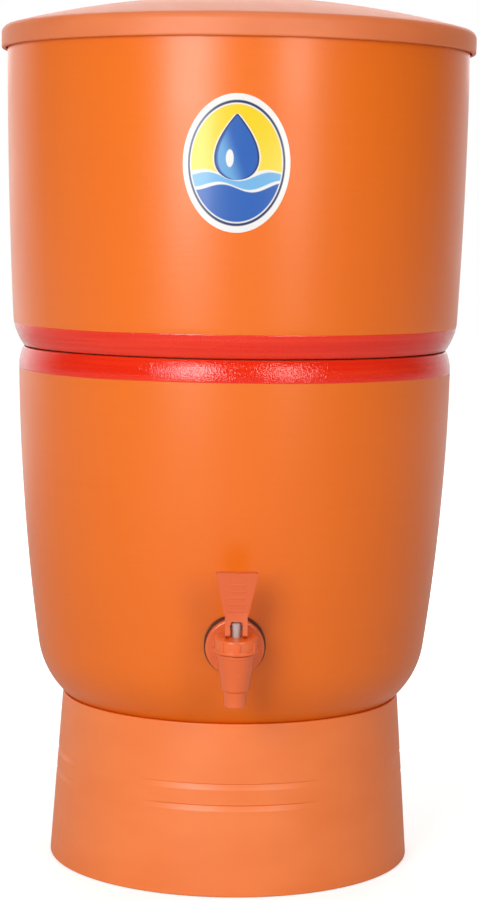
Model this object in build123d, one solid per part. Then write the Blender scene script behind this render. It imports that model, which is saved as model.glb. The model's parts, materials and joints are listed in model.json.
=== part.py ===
from build123d import *
from math import asin, copysign, cos, degrees, radians, sin, sqrt
import os

# Gravity water filter with a lever tap: a moulded stand carries a clay bowl for the filtered
# water, a clay chamber for the water to be filtered stands on the bowl, and a moulded lid
# covers it. Millimetres, +Z up, origin at the centre of the stand's foot. The tap faces -Y.

# Stand: a moulded cone, open below, with a shelf inside that carries the bowl
STAND_HEIGHT = 95.0
STAND_FOOT_RADIUS = 104.6
STAND_TOP_RADIUS = 97.7
STAND_WALL = 3.0
FOOT_RING_WIDTH = 7.0
FOOT_RING_HEIGHT = 3.0
FOOT_EDGE_RADIUS = 0.8
SEAT_HEIGHT = 83.5
SEAT_INNER_RADIUS = 45.0
SEAT_RISE = 2.0
SEAT_MARGIN = 2.5
SHELF_THICKNESS = 3.0
GUSSET_COUNT = 8
GUSSET_THICKNESS = 2.5
GUSSET_DROP = 15.0
GROOVE_HEIGHTS = (60.5, 48.8)
GROOVE_WIDTH = 3.2
GROOVE_DEPTH = 0.5
GROOVE_HALF_ANGLE = 34.0
GROOVE_SIDES = 4
BOWL_CLEARANCE = 0.4

# Bowl: thrown clay, flat bottom, round lower corner and a slightly bowed wall
BOWL_HEIGHT = 212.0
BOWL_FLAT_RADIUS = 64.5
BOWL_CORNER_RADIUS = 48.0
BOWL_LOW_LEAN = 8.0
BOWL_WALL = 10.0
BOWL_WIDEST_RADIUS = 124.3
BOWL_RIM_RADIUS = 122.0
BOWL_RIM_ROUND = 11.0

# Upper chamber: thrown clay, with a spigot that drops into the bowl's mouth
UPPER_HEIGHT = 172.5
UPPER_RIM_RADIUS = 131.5
UPPER_FOOT_RADIUS = 127.7
UPPER_SEAM_RADIUS = 121.8
UPPER_FOOT_ROUND = 17.5
UPPER_WALL = 10.0
UPPER_FLOOR = 12.0
UPPER_INNER_CORNER = 11.0
SPIGOT_DROP = 5.5
SPIGOT_CLEARANCE = 2.1
SPIGOT_CHAMFER = 1.5

# Lid: moulded dome with a skirt round the rim, a locating ring inside it and ribs on the rim
LID_WALL = 2.5
LID_SKIRT_CLEARANCE = 1.0
LID_SKIRT_DROP = 4.3
LID_EDGE_RISE = 7.6
LID_DOME_RISE = 18.0
LID_TOP_ROUND = 4.5
LID_LIP_ROUND = 1.8
LID_RING_CLEARANCE = 2.0
LID_RING_THICKNESS = 2.0
LID_RING_DROP = 8.0
LID_RIB_COUNT = 16
LID_RIB_THICKNESS = 2.0

# Sticker on the front of the upper chamber
LABEL_WIDTH = 56.0
LABEL_HEIGHT = 72.0
LABEL_MIDDLE_ABOVE_SEAM = 103.0
LABEL_SHIFT = -2.9
LABEL_THICKNESS = 0.2
LABEL_GLUE = 0.05

# Tap, in its own frame: the origin is the middle of the flange's front face, -Y points out
# along the shank and +Z points up along the valve stem
TAP_HEIGHT_ABOVE_SEAT = 58.4
VALVE_REACH = 22.0
FLANGE_RADIUS = 16.3
FLANGE_THICKNESS = 3.0
FLANGE_EDGE_ROUND = 0.8
HUB_RADIUS = 8.4
HUB_RISE = 1.6
FRONT_GASKET_RADIUS = 17.0
FRONT_GASKET_THICKNESS = 3.5
FRONT_FACE_CUT = 1.3
REAR_FACE_CUT = 0.3
FACE_CUT_MARGIN = 0.6
REAR_GASKET_RADIUS = 14.5
REAR_GASKET_THICKNESS = 2.5
SHANK_RADIUS = 8.0
SHANK_HOLE_CLEARANCE = 0.8
SHANK_SPARE = 5.0
THREAD_CLEARANCE = 0.05
LOCK_NUT_ACROSS = 27.0
LOCK_NUT_THICKNESS = 6.0
INLET_RADIUS = 3.5
NECK_RADIUS = 5.2
NOZZLE_BOTTOM = -24.6
NOZZLE_TIP_RADIUS = 5.8
NOZZLE_TOP_RADIUS = 6.4
NOZZLE_TOP = -15.3
NOZZLE_TIP_ROUND = 0.7
OUTLET_RADIUS = 4.0
BARREL_LOW_RADIUS = 7.6
BARREL_TOP_RADIUS = 10.2
BARREL_TOP = 5.4
COLLAR_RADIUS = 10.8
COLLAR_HEIGHT = 1.8
SEAT_LEVEL = -9.0
VALVE_BORE_RADIUS = 6.6
THREAD_NECK_RADIUS = 9.4
CAP_BOTTOM = 6.05
CAP_TOP = 13.7
CAP_TOP_THICKNESS = 2.0
CAP_TOP_GAP = 0.2
CAP_RADIUS = 11.7
CAP_LIP_RADIUS = 12.6
CAP_LIP_HEIGHT = 1.9
CAP_EDGE_ROUND = 0.8
CAP_RIB_COUNT = 8
CAP_RIB_WIDTH = 1.0
CAP_RIB_DEPTH = 0.7
CAP_RIB_LENGTH = 4.9
CAP_RIB_PHASE = 8.0

# Valve inside the tap
STEM_RADIUS = 2.7
STEM_CLEARANCE = 0.08
STEM_ABOVE_PIN = 3.4
STEM_TOP_CHAMFER = 0.9
STEM_IN_CUP = 3.0
CUP_HEIGHT = 5.0
CUP_RADIUS = 5.6
CUP_TOP_RADIUS = 4.8
CUP_FIT = 0.03
SPRING_PLATE_RADIUS = 4.8
SPRING_PLATE_THICKNESS = 1.5
SPRING_WIRE = 0.9
SPRING_RADIUS = 4.1
SPRING_TURNS = 6
SPRING_END_GAP = 0.1

# Lever: a forked paddle on a pin through the stem. Its heel is a cam on the cap nut, and the
# stem rises by CAM_LIFT for each radian that the lever tips outwards
PIN_RADIUS = 1.2
PIN_RUNNING_CLEARANCE = 0.05
PIN_STEM_FIT = 0.02
PIN_SHORT_OF_FORK = 0.3
PIN_ABOVE_CAP = 4.5
CAM_LIFT = 2.5
CAM_CLEARANCE = 0.3
CAM_STEPS = 6
LEVER_TILT = 50.0
FORK_WIDTH = 11.7
SLOT_WIDTH = 6.7
FORK_BACK = 3.2
SLOT_TOP_ABOVE_PIN = 4.4
PADDLE_FOOT_ABOVE_PIN = 6.2
PADDLE_TOP_ABOVE_PIN = 30.3
PADDLE_FOOT_WIDTH = 12.2
PADDLE_TOP_WIDTH = 22.4
PADDLE_THICKNESS = 4.0
PADDLE_ROUND = 1.0
PADDLE_FRONT = 2.4
RIDGE_COUNT = 5
RIDGE_PITCH = 3.5
RIDGE_HEIGHT = 0.8
RIDGE_RISE = 0.2
RIDGE_LENGTH = 9.0
RIDGE_DROP = 6.5

# Filter candle, clamped in the middle of the upper chamber's floor
CANDLE_STEM_RADIUS = 5.0
CANDLE_STEM_LENGTH = 37.0
CANDLE_STEM_BORE = 2.0
STEM_HOLE_CLEARANCE = 0.6
WASHER_RADIUS = 15.0
WASHER_THICKNESS = 3.0
WASHER_FIT = 0.1
CANDLE_CUP_RADIUS = 28.5
CANDLE_CUP_HEIGHT = 12.0
CANDLE_CUP_FLOOR = 4.0
CANDLE_RADIUS = 26.0
CANDLE_FIT = 0.15
CANDLE_HEIGHT = 92.0
CANDLE_WALL = 7.0
CARBON_CLEARANCE = 0.4
CARBON_HEIGHT = 62.0
WING_NUT_HEIGHT = 8.0
WING_HUB_RADIUS = 10.0
WING_SPAN = 42.0
WING_THICKNESS = 4.0

# Float valve, on the lower end of the candle's stem. The arm lies along +X from its hinge
FLOAT_BODY_GAP = 0.5
FLOAT_BODY_RADIUS = 8.5
FLOAT_BODY_HEIGHT = 20.0
FLOAT_SOCKET_DEPTH = 12.0
FLOAT_NOZZLE_RADIUS = 3.0
FLOAT_NOZZLE_LENGTH = 3.0
FLOAT_NOZZLE_BORE = 1.2
HINGE_REACH = 13.0
HINGE_PIN_RADIUS = 1.0
EAR_THICKNESS = 2.0
EAR_WIDTH = 7.0
EAR_CLEARANCE = 0.3
EAR_RISE = 6.0
ARM_WIDTH = 7.0
ARM_THICKNESS = 3.0
ARM_KNUCKLE_RADIUS = 3.2
ARM_REACH = 62.0
PAD_RADIUS = 3.4
PAD_THICKNESS = 2.0
PAD_CLEARANCE = 0.3
FLOAT_RADIUS = 19.0
FLOAT_HEIGHT = 27.0
FLOAT_ROUND = 5.0
FLOAT_PEG_RADIUS = 2.5
FLOAT_PEG_LENGTH = 6.0
FLOAT_PEG_FIT = 0.05
FLOAT_DROP = 24.0

ON_BASE = (Align.CENTER, Align.CENTER, Align.MIN)
FROM_TOP = (Align.CENTER, Align.CENTER, Align.MAX)

# Heights that follow from the sizes above
BOWL_RIM = SEAT_HEIGHT + BOWL_HEIGHT
UPPER_RIM = BOWL_RIM + UPPER_HEIGHT
SPIGOT_BOTTOM = BOWL_RIM - SPIGOT_DROP
UPPER_FLOOR_TOP = SPIGOT_BOTTOM + UPPER_FLOOR
CANDLE_SEAT = UPPER_FLOOR_TOP + WASHER_THICKNESS
WING_NUT_TOP = SPIGOT_BOTTOM - WASHER_THICKNESS
WING_NUT_BOTTOM = WING_NUT_TOP - WING_NUT_HEIGHT
FLOAT_BODY_TOP = WING_NUT_BOTTOM - FLOAT_BODY_GAP
FLOAT_BODY_BOTTOM = FLOAT_BODY_TOP - FLOAT_BODY_HEIGHT
FLOAT_OUTLET = FLOAT_BODY_BOTTOM - FLOAT_NOZZLE_LENGTH
ARM_TOP = FLOAT_OUTLET - PAD_CLEARANCE - PAD_THICKNESS
HINGE_HEIGHT = ARM_TOP - ARM_THICKNESS + ARM_KNUCKLE_RADIUS
PIN_LEVEL = CAP_TOP + PIN_ABOVE_CAP


def lathe(*edges):
    """Turn a half section, drawn as (radius, height), about the Z axis."""
    return revolve(Plane.XZ * make_face([*edges]), Axis.Z)


def tube(outer, inner, bottom, top):
    """Upright tube between two heights."""
    ring = Cylinder(outer, top - bottom, align=ON_BASE) - Cylinder(inner, top - bottom, align=ON_BASE)
    return Pos(0, 0, bottom) * ring


def rod(radius, bottom, top):
    """Upright round bar between two heights."""
    return Pos(0, 0, bottom) * Cylinder(radius, top - bottom, align=ON_BASE)


def outward(radius, start, end):
    """Round bar along -Y between two distances out from the origin."""
    return Pos(0, -start, 0) * Rot(90, 0, 0) * Cylinder(radius, end - start, align=ON_BASE)


def across(radius, length):
    """Round bar along X, centred on the origin."""
    return Rot(0, 90, 0) * Cylinder(radius, length)


def bowl_wall(grow=0.0):
    """Outer wall of the bowl from its flat bottom to its rim, moved outwards by grow."""
    corner = JernArc((BOWL_FLAT_RADIUS, SEAT_HEIGHT - grow), (1, 0), BOWL_CORNER_RADIUS + grow,
                     90 - BOWL_LOW_LEAN)
    widest = (BOWL_WIDEST_RADIUS + grow, BOWL_RIM - BOWL_RIM_ROUND)
    side = TangentArc(corner @ 1, widest, tangent=corner % 1)
    rounding = TangentArc(side @ 1, (BOWL_RIM_RADIUS + grow, BOWL_RIM), tangent=side % 1)
    return corner, side, rounding


def bowl_form(grow=0.0):
    """The bowl as if it were full, moved outwards by grow."""
    corner, side, rounding = bowl_wall(grow)
    bottom = SEAT_HEIGHT - grow
    closing = Polyline(rounding @ 1, (0, BOWL_RIM), (0, bottom), corner @ 0)
    return lathe(corner, side, rounding, *closing.edges())


def wall_at(height):
    """Radius of the bowl's outer wall at a height, and its lean from upright in degrees."""
    side = bowl_wall()[1]
    centre = side.arc_center
    bulge = copysign(1, (side @ 0).X - centre.X)
    rise = height - centre.Y
    radius = centre.X + bulge * sqrt(side.radius ** 2 - rise ** 2)
    return radius, bulge * degrees(asin(-rise / side.radius))


TAP_HEIGHT = SEAT_HEIGHT + TAP_HEIGHT_ABOVE_SEAT
WALL_RADIUS, TAP_LEAN = wall_at(TAP_HEIGHT)
FLANGE_PROUD = FLANGE_THICKNESS + FRONT_GASKET_THICKNESS - FRONT_FACE_CUT
REAR_FACE = -FLANGE_PROUD - BOWL_WALL + REAR_FACE_CUT
LOCK_NUT_FRONT = REAR_FACE - REAR_GASKET_THICKNESS
SHANK_END = LOCK_NUT_FRONT - LOCK_NUT_THICKNESS - SHANK_SPARE
TAP_PLACE = Pos(0, -WALL_RADIUS, TAP_HEIGHT) * Rot(TAP_LEAN, 0, 0) * Pos(0, -FLANGE_PROUD, 0)
VALVE = Pos(0, -VALVE_REACH, 0)


def base_stand():
    """Conical stand with its foot ring, finger grooves, shelf, seat ring and gussets."""
    slope = (STAND_FOOT_RADIUS - STAND_TOP_RADIUS) / STAND_HEIGHT
    outside = Cone(STAND_FOOT_RADIUS, STAND_TOP_RADIUS, STAND_HEIGHT, align=ON_BASE)
    foot_edge = outside.edges().filter_by(GeomType.CIRCLE).sort_by(Axis.Z)[0]
    outside = fillet(foot_edge, FOOT_EDGE_RADIUS)
    inside = Cone(STAND_FOOT_RADIUS - STAND_WALL, STAND_TOP_RADIUS - STAND_WALL, STAND_HEIGHT,
                  align=ON_BASE)
    foot = tube(STAND_FOOT_RADIUS - STAND_WALL, STAND_FOOT_RADIUS - FOOT_RING_WIDTH, 0,
                FOOT_RING_HEIGHT)
    shelf_top = SEAT_HEIGHT - SEAT_RISE
    shelf_bottom = shelf_top - SHELF_THICKNESS
    shelf = tube(STAND_FOOT_RADIUS, SEAT_INNER_RADIUS, shelf_bottom, shelf_top)
    seat = tube(BOWL_FLAT_RADIUS - SEAT_MARGIN, SEAT_INNER_RADIUS, shelf_top, SEAT_HEIGHT)
    stand = (outside - inside - bowl_form(BOWL_CLEARANCE)) + foot + (shelf & outside) + seat

    wall_inside = STAND_FOOT_RADIUS - STAND_WALL / 2 - slope * shelf_bottom
    web = Polyline((SEAT_INNER_RADIUS, shelf_bottom + SHELF_THICKNESS / 2),
                   (wall_inside, shelf_bottom + SHELF_THICKNESS / 2),
                   (wall_inside, shelf_bottom - GUSSET_DROP),
                   (wall_inside - STAND_WALL, shelf_bottom - GUSSET_DROP),
                   (SEAT_INNER_RADIUS, shelf_bottom - STAND_WALL), close=True)
    gusset = extrude(Plane.XZ * make_face(web.edges()), GUSSET_THICKNESS / 2, both=True)
    for place in PolarLocations(0, GUSSET_COUNT, start_angle=180 / GUSSET_COUNT):
        stand += place * gusset
    return stand - finger_grooves(slope)


def finger_grooves(slope):
    """Shallow arcs round the stand, deepest at the middle of each side."""
    cutters = []
    for height in GROOVE_HEIGHTS:
        surface = STAND_FOOT_RADIUS - slope * height
        offset = GROOVE_DEPTH / (1 - cos(radians(GROOVE_HALF_ANGLE)))
        inner = surface - GROOVE_DEPTH + offset
        ring = tube(inner + STAND_WALL + 2 * offset, inner, height - GROOVE_WIDTH / 2,
                    height + GROOVE_WIDTH / 2)
        cutters += [place * Pos(-offset, 0, 0) * ring for place in PolarLocations(0, GROOVE_SIDES)]
    return cutters


def lower_chamber():
    """Clay bowl with the tap's hole and a flat spot on each side of it."""
    outer = bowl_wall()
    floor = SEAT_HEIGHT + BOWL_WALL
    corner = JernArc((BOWL_FLAT_RADIUS, floor), (1, 0), BOWL_CORNER_RADIUS - BOWL_WALL,
                     90 - BOWL_LOW_LEAN)
    mouth = BOWL_RIM_RADIUS - BOWL_WALL
    inner_side = TangentArc(corner @ 1, (mouth, BOWL_RIM), tangent=corner % 1)
    rim = Line(outer[2] @ 1, inner_side @ 1)
    bottom = Polyline(corner @ 0, (0, floor), (0, SEAT_HEIGHT), outer[0] @ 0)
    bowl = lathe(*outer, rim, inner_side, corner, *bottom.edges())
    hole = outward(SHANK_RADIUS + SHANK_HOLE_CLEARANCE, SHANK_END, VALVE_REACH)
    front_spot = outward(FRONT_GASKET_RADIUS + FACE_CUT_MARGIN, -FLANGE_PROUD - FRONT_FACE_CUT,
                         VALVE_REACH)
    rear_spot = outward(REAR_GASKET_RADIUS + FACE_CUT_MARGIN, SHANK_END, REAR_FACE)
    return bowl - TAP_PLACE * hole - TAP_PLACE * front_spot - TAP_PLACE * rear_spot


def upper_wall(grow=0.0):
    """Outer wall of the upper chamber from its rim to the seam, moved outwards by grow."""
    foot_top = BOWL_RIM + UPPER_FOOT_ROUND
    side = TangentArc((UPPER_RIM_RADIUS + grow, UPPER_RIM), (UPPER_FOOT_RADIUS + grow, foot_top),
                      tangent=(0, -1))
    rounding = TangentArc(side @ 1, (UPPER_SEAM_RADIUS + grow, BOWL_RIM), tangent=side % 1)
    return side, rounding


def upper_form(grow=0.0):
    """The upper chamber as if it were full, moved outwards by grow."""
    side, rounding = upper_wall(grow)
    closing = Polyline(rounding @ 1, (0, BOWL_RIM), (0, UPPER_RIM), side @ 0)
    return lathe(side, rounding, *closing.edges())


def upper_chamber():
    """Clay chamber with a flat floor, a spigot below it and the candle's hole."""
    form = upper_form()
    spigot = rod(BOWL_RIM_RADIUS - BOWL_WALL - SPIGOT_CLEARANCE, SPIGOT_BOTTOM, BOWL_RIM)
    spigot_edge = spigot.edges().filter_by(GeomType.CIRCLE).sort_by(Axis.Z)[0]
    spigot = chamfer(spigot_edge, SPIGOT_CHAMFER)
    mouth = UPPER_RIM_RADIUS - UPPER_WALL
    foot_inside = UPPER_FOOT_RADIUS - UPPER_WALL
    corner_top = UPPER_FLOOR_TOP + UPPER_INNER_CORNER
    side = TangentArc((mouth, UPPER_RIM), (foot_inside, corner_top), tangent=(0, -1))
    corner = TangentArc(side @ 1, (foot_inside - UPPER_INNER_CORNER, UPPER_FLOOR_TOP),
                        tangent=side % 1)
    closing = Polyline(corner @ 1, (0, UPPER_FLOOR_TOP), (0, UPPER_RIM), side @ 0)
    cavity = lathe(side, corner, *closing.edges())
    hole = rod(CANDLE_STEM_RADIUS + STEM_HOLE_CLEARANCE, SPIGOT_BOTTOM, CANDLE_SEAT)
    return form + spigot - cavity - hole


def front_label():
    """Thin oval sticker that follows the upper chamber's wall, off it by the glue."""
    oval = Plane.XZ * Ellipse(LABEL_WIDTH / 2, LABEL_HEIGHT / 2)
    middle = Pos(LABEL_SHIFT, 0, BOWL_RIM + LABEL_MIDDLE_ABOVE_SEAM)
    in_front = middle * extrude(oval, 2 * UPPER_RIM_RADIUS)
    back = upper_wall(LABEL_GLUE)[0]
    face = upper_wall(LABEL_GLUE + LABEL_THICKNESS)[0]
    film = lathe(back, Line(back @ 1, face @ 1), face, Line(face @ 0, back @ 0))
    return in_front & film


def lid_form(wall, bottom, rounds=(0, 0)):
    """The lid as if it were full, moved inwards by wall, down to a height.

    rounds holds the radii of its top edge and of its lip.
    """
    radius = UPPER_RIM_RADIUS + LID_SKIRT_CLEARANCE + LID_WALL - wall
    edge = UPPER_RIM + LID_EDGE_RISE - wall
    top = edge + LID_DOME_RISE
    dome = TangentArc((0, top), (radius, edge), tangent=(1, 0))
    closing = Polyline(dome @ 1, (radius, bottom), (0, bottom), dome @ 0)
    section = make_face([dome, *closing.edges()])
    for height, size in zip((edge, bottom), rounds):
        if size:
            corner = section.vertices().sort_by_distance((radius, height))[0]
            section = fillet(corner, size)
    return revolve(Plane.XZ * section, Axis.Z)


def lid():
    """Domed lid: shell, locating ring inside the mouth, and ribs that sit on the rim."""
    skirt_bottom = UPPER_RIM - LID_SKIRT_DROP
    outside = lid_form(0, skirt_bottom, (LID_TOP_ROUND, LID_LIP_ROUND))
    inside = lid_form(LID_WALL, skirt_bottom - LID_WALL)
    ring_outer = UPPER_RIM_RADIUS - UPPER_WALL - LID_RING_CLEARANCE
    ring_inner = ring_outer - LID_RING_THICKNESS
    fill = outside & inside
    above_rim = UPPER_RIM + LID_EDGE_RISE + LID_DOME_RISE
    ring = fill & tube(ring_outer, ring_inner, UPPER_RIM, above_rim)
    ring_tail = tube(ring_outer, ring_inner, UPPER_RIM - LID_RING_DROP, UPPER_RIM)
    rib_length = UPPER_RIM_RADIUS - ring_inner + LID_SKIRT_CLEARANCE
    rib = Pos(ring_inner + rib_length / 2, 0, UPPER_RIM) * Box(
        rib_length, LID_RIB_THICKNESS, above_rim - UPPER_RIM, align=ON_BASE)
    cover = (outside - inside) + ring + ring_tail
    for place in PolarLocations(0, LID_RIB_COUNT):
        cover += fill & (place * rib)
    return cover


def tap_front_gasket():
    """Rubber washer under the flange."""
    back = -FLANGE_THICKNESS - FRONT_GASKET_THICKNESS
    hole = outward(SHANK_RADIUS + THREAD_CLEARANCE, back, 0)
    return TAP_PLACE * (outward(FRONT_GASKET_RADIUS, back, -FLANGE_THICKNESS) - hole)


def tap_rear_gasket():
    """Rubber washer under the lock nut."""
    hole = outward(SHANK_RADIUS + THREAD_CLEARANCE, LOCK_NUT_FRONT, REAR_FACE)
    return TAP_PLACE * (outward(REAR_GASKET_RADIUS, LOCK_NUT_FRONT, REAR_FACE) - hole)


def tap_lock_nut():
    """Hexagon nut on the shank, inside the bowl."""
    hexagon = RegularPolygon(LOCK_NUT_ACROSS / 2, 6, major_radius=False)
    nut = Pos(0, -LOCK_NUT_FRONT, 0) * extrude(Plane.XZ * hexagon, -LOCK_NUT_THICKNESS)
    hole = outward(SHANK_RADIUS + THREAD_CLEARANCE, SHANK_END, LOCK_NUT_FRONT)
    return TAP_PLACE * (nut - hole)


def tap_body():
    """Flange, hub, shank, neck, barrel, nozzle and threaded neck in one moulding."""
    flange = outward(FLANGE_RADIUS, -FLANGE_THICKNESS, 0)
    flange_edge = flange.edges().filter_by(GeomType.CIRCLE).sort_by(Axis.Y)[0]
    flange = fillet(flange_edge, FLANGE_EDGE_ROUND)
    hub = outward(HUB_RADIUS, 0, HUB_RISE)
    shank = outward(SHANK_RADIUS, SHANK_END, -FLANGE_THICKNESS)
    neck = outward(NECK_RADIUS, 0, VALVE_REACH)
    neck_top = CAP_TOP - CAP_TOP_THICKNESS - CAP_TOP_GAP
    barrel_top = BARREL_TOP - COLLAR_HEIGHT
    profile = Polyline((0, NOZZLE_BOTTOM), (NOZZLE_TIP_RADIUS, NOZZLE_BOTTOM),
                       (NOZZLE_TOP_RADIUS, NOZZLE_TOP), (BARREL_LOW_RADIUS, NOZZLE_TOP),
                       (BARREL_TOP_RADIUS, barrel_top), (COLLAR_RADIUS, barrel_top),
                       (COLLAR_RADIUS, BARREL_TOP), (THREAD_NECK_RADIUS, BARREL_TOP),
                       (THREAD_NECK_RADIUS, neck_top), (0, neck_top), close=True)
    barrel = lathe(*profile.edges())
    tip = barrel.edges().filter_by(GeomType.CIRCLE).sort_by(Axis.Z)[0]
    barrel = fillet(tip, NOZZLE_TIP_ROUND)
    inlet = outward(INLET_RADIUS, SHANK_END, VALVE_REACH)
    bore = rod(VALVE_BORE_RADIUS, SEAT_LEVEL, neck_top)
    outlet = rod(OUTLET_RADIUS, NOZZLE_BOTTOM, SEAT_LEVEL)
    solid = flange + hub + shank + neck + VALVE * barrel
    return TAP_PLACE * (solid - inlet - VALVE * bore - VALVE * outlet)


def tap_cap_nut():
    """Ribbed cap nut over the threaded neck, with the stem's guide hole."""
    cap = rod(CAP_RADIUS, CAP_BOTTOM, CAP_TOP)
    top_edge = cap.edges().filter_by(GeomType.CIRCLE).sort_by(Axis.Z)[-1]
    cap = fillet(top_edge, CAP_EDGE_ROUND)
    lip = rod(CAP_LIP_RADIUS, CAP_BOTTOM, CAP_BOTTOM + CAP_LIP_HEIGHT)
    lip = fillet(lip.edges().filter_by(GeomType.CIRCLE), CAP_LIP_HEIGHT / 4)
    cap += lip
    rib_bottom = CAP_BOTTOM + CAP_LIP_HEIGHT / 2
    rib = Pos(CAP_RADIUS - CAP_RIB_WIDTH + CAP_RIB_DEPTH, 0, rib_bottom) * Box(
        2 * CAP_RIB_WIDTH, CAP_RIB_WIDTH, CAP_RIB_LENGTH, align=ON_BASE)
    for place in PolarLocations(0, CAP_RIB_COUNT, start_angle=-90 + CAP_RIB_PHASE):
        cap += place * rib
    thread = rod(THREAD_NECK_RADIUS + THREAD_CLEARANCE, CAP_BOTTOM, CAP_TOP - CAP_TOP_THICKNESS)
    guide = rod(STEM_RADIUS + STEM_CLEARANCE, CAP_BOTTOM, CAP_TOP)
    return TAP_PLACE * VALVE * (cap - thread - guide)


def tap_stem():
    """Valve stem with its spring plate and the pin's hole."""
    cup_top = SEAT_LEVEL + CUP_HEIGHT
    top = PIN_LEVEL + STEM_ABOVE_PIN
    stem = rod(STEM_RADIUS, cup_top - STEM_IN_CUP, top)
    stem = chamfer(stem.edges().filter_by(GeomType.CIRCLE).sort_by(Axis.Z)[-1], STEM_TOP_CHAMFER)
    plate = rod(SPRING_PLATE_RADIUS, cup_top, cup_top + SPRING_PLATE_THICKNESS)
    pin_hole = Pos(0, 0, PIN_LEVEL) * across(PIN_RADIUS + PIN_STEM_FIT, 2 * STEM_RADIUS)
    return TAP_PLACE * VALVE * (stem + plate - pin_hole)


def tap_seat_cup():
    """Rubber cup on the stem's foot that closes the outlet."""
    cup_top = SEAT_LEVEL + CUP_HEIGHT
    cup = Pos(0, 0, SEAT_LEVEL) * Cone(CUP_RADIUS, CUP_TOP_RADIUS, CUP_HEIGHT, align=ON_BASE)
    socket = rod(STEM_RADIUS + CUP_FIT, cup_top - STEM_IN_CUP, cup_top)
    return TAP_PLACE * VALVE * (cup - socket)


def tap_spring():
    """Compression spring between the stem's plate and the cap nut."""
    inset = SPRING_WIRE / 2 + SPRING_END_GAP
    low = SEAT_LEVEL + CUP_HEIGHT + SPRING_PLATE_THICKNESS + inset
    high = CAP_TOP - CAP_TOP_THICKNESS - inset
    coil = Pos(0, 0, low) * Helix((high - low) / SPRING_TURNS, high - low, SPRING_RADIUS)
    section = Plane(coil @ 0, z_dir=coil % 0) * Circle(SPRING_WIRE / 2)
    return TAP_PLACE * VALVE * sweep(section, coil, is_frenet=True)


def lever_pin():
    """Pin through the stem and both legs of the lever's fork."""
    length = FORK_WIDTH - 2 * PIN_SHORT_OF_FORK
    return TAP_PLACE * VALVE * Pos(0, 0, PIN_LEVEL) * across(PIN_RADIUS, length)


def cam_point(angle):
    """Point of the heel, as (out, up) from the pin, that faces the nut at a tilt in degrees."""
    turn = radians(angle)
    height = PIN_ABOVE_CAP - CAM_CLEARANCE + CAM_LIFT * turn
    out = height * sin(turn) + CAM_LIFT * cos(turn)
    return out, CAM_LIFT * sin(turn) - height * cos(turn)


def tap_lever():
    """Forked paddle with a cam heel and finger ridges, drawn about its pin."""
    heel = Spline([cam_point(LEVER_TILT * step / CAM_STEPS) for step in range(CAM_STEPS + 1)],
                  tangents=[(1, 0), (cos(radians(LEVER_TILT)), sin(radians(LEVER_TILT)))])
    paddle_back = PADDLE_FRONT - PADDLE_THICKNESS
    outline = Polyline(heel @ 1, (PADDLE_FRONT, PADDLE_FOOT_ABOVE_PIN + STEM_RADIUS),
                       (PADDLE_FRONT - PADDLE_ROUND, PADDLE_FOOT_ABOVE_PIN + 2 * STEM_RADIUS),
                       (paddle_back, PADDLE_FOOT_ABOVE_PIN + STEM_RADIUS),
                       (-FORK_BACK, SLOT_TOP_ABOVE_PIN), (-FORK_BACK, -PIN_RADIUS),
                       (-PIN_RADIUS, CAM_CLEARANCE - PIN_ABOVE_CAP), heel @ 0)
    side_view = make_face([heel, *outline.edges()])
    outwards = Plane((0, 0, 0), x_dir=(0, -1, 0), z_dir=(-1, 0, 0))
    fork = extrude(outwards * side_view, FORK_WIDTH / 2, both=True)
    slot_floor = -PIN_ABOVE_CAP - CAM_LIFT
    slot = Pos(0, 0, slot_floor) * Box(SLOT_WIDTH, 4 * FORK_WIDTH, SLOT_TOP_ABOVE_PIN - slot_floor,
                                       align=ON_BASE)
    hole = across(PIN_RADIUS + PIN_RUNNING_CLEARANCE, FORK_WIDTH)
    lever = fork + paddle() - slot - hole
    return TAP_PLACE * VALVE * Pos(0, 0, PIN_LEVEL) * lever


def paddle():
    """Flat trapezoid that the finger pulls, with ridges across its front."""
    foot, top = PADDLE_FOOT_ABOVE_PIN, PADDLE_TOP_ABOVE_PIN
    plate_outline = Polyline((-PADDLE_FOOT_WIDTH / 2, foot), (PADDLE_FOOT_WIDTH / 2, foot),
                             (PADDLE_TOP_WIDTH / 2, top), (-PADDLE_TOP_WIDTH / 2, top), close=True)
    plate = Pos(0, -PADDLE_FRONT, 0) * extrude(Plane.XZ * make_face(plate_outline.edges()),
                                              -PADDLE_THICKNESS)
    plate = fillet(plate.edges().filter_by(Axis.Y).sort_by(Axis.Z)[-2:], PADDLE_ROUND)
    for step in range(RIDGE_COUNT):
        level = top - RIDGE_DROP - step * RIDGE_PITCH
        plate += Pos(0, -PADDLE_FRONT, level) * Box(RIDGE_LENGTH, 2 * RIDGE_RISE, RIDGE_HEIGHT)
    return plate


def candle_base():
    """Plastic cup of the candle with its hollow threaded stem."""
    cup = tube(CANDLE_CUP_RADIUS, CANDLE_RADIUS + CANDLE_FIT, CANDLE_SEAT + CANDLE_CUP_FLOOR,
               CANDLE_SEAT + CANDLE_CUP_HEIGHT)
    floor = rod(CANDLE_CUP_RADIUS, CANDLE_SEAT, CANDLE_SEAT + CANDLE_CUP_FLOOR)
    stem = rod(CANDLE_STEM_RADIUS, CANDLE_SEAT - CANDLE_STEM_LENGTH, CANDLE_SEAT)
    bore = rod(CANDLE_STEM_BORE, CANDLE_SEAT - CANDLE_STEM_LENGTH, CANDLE_SEAT + CANDLE_CUP_FLOOR)
    return floor + cup + stem - bore


def candle_form(radius, bottom, top):
    """Round-topped cylinder."""
    side = Line((radius, bottom), (radius, top - radius))
    dome = JernArc(side @ 1, (0, 1), radius, 90)
    closing = Polyline(dome @ 1, (0, bottom), side @ 0)
    return lathe(side, dome, *closing.edges())


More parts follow.
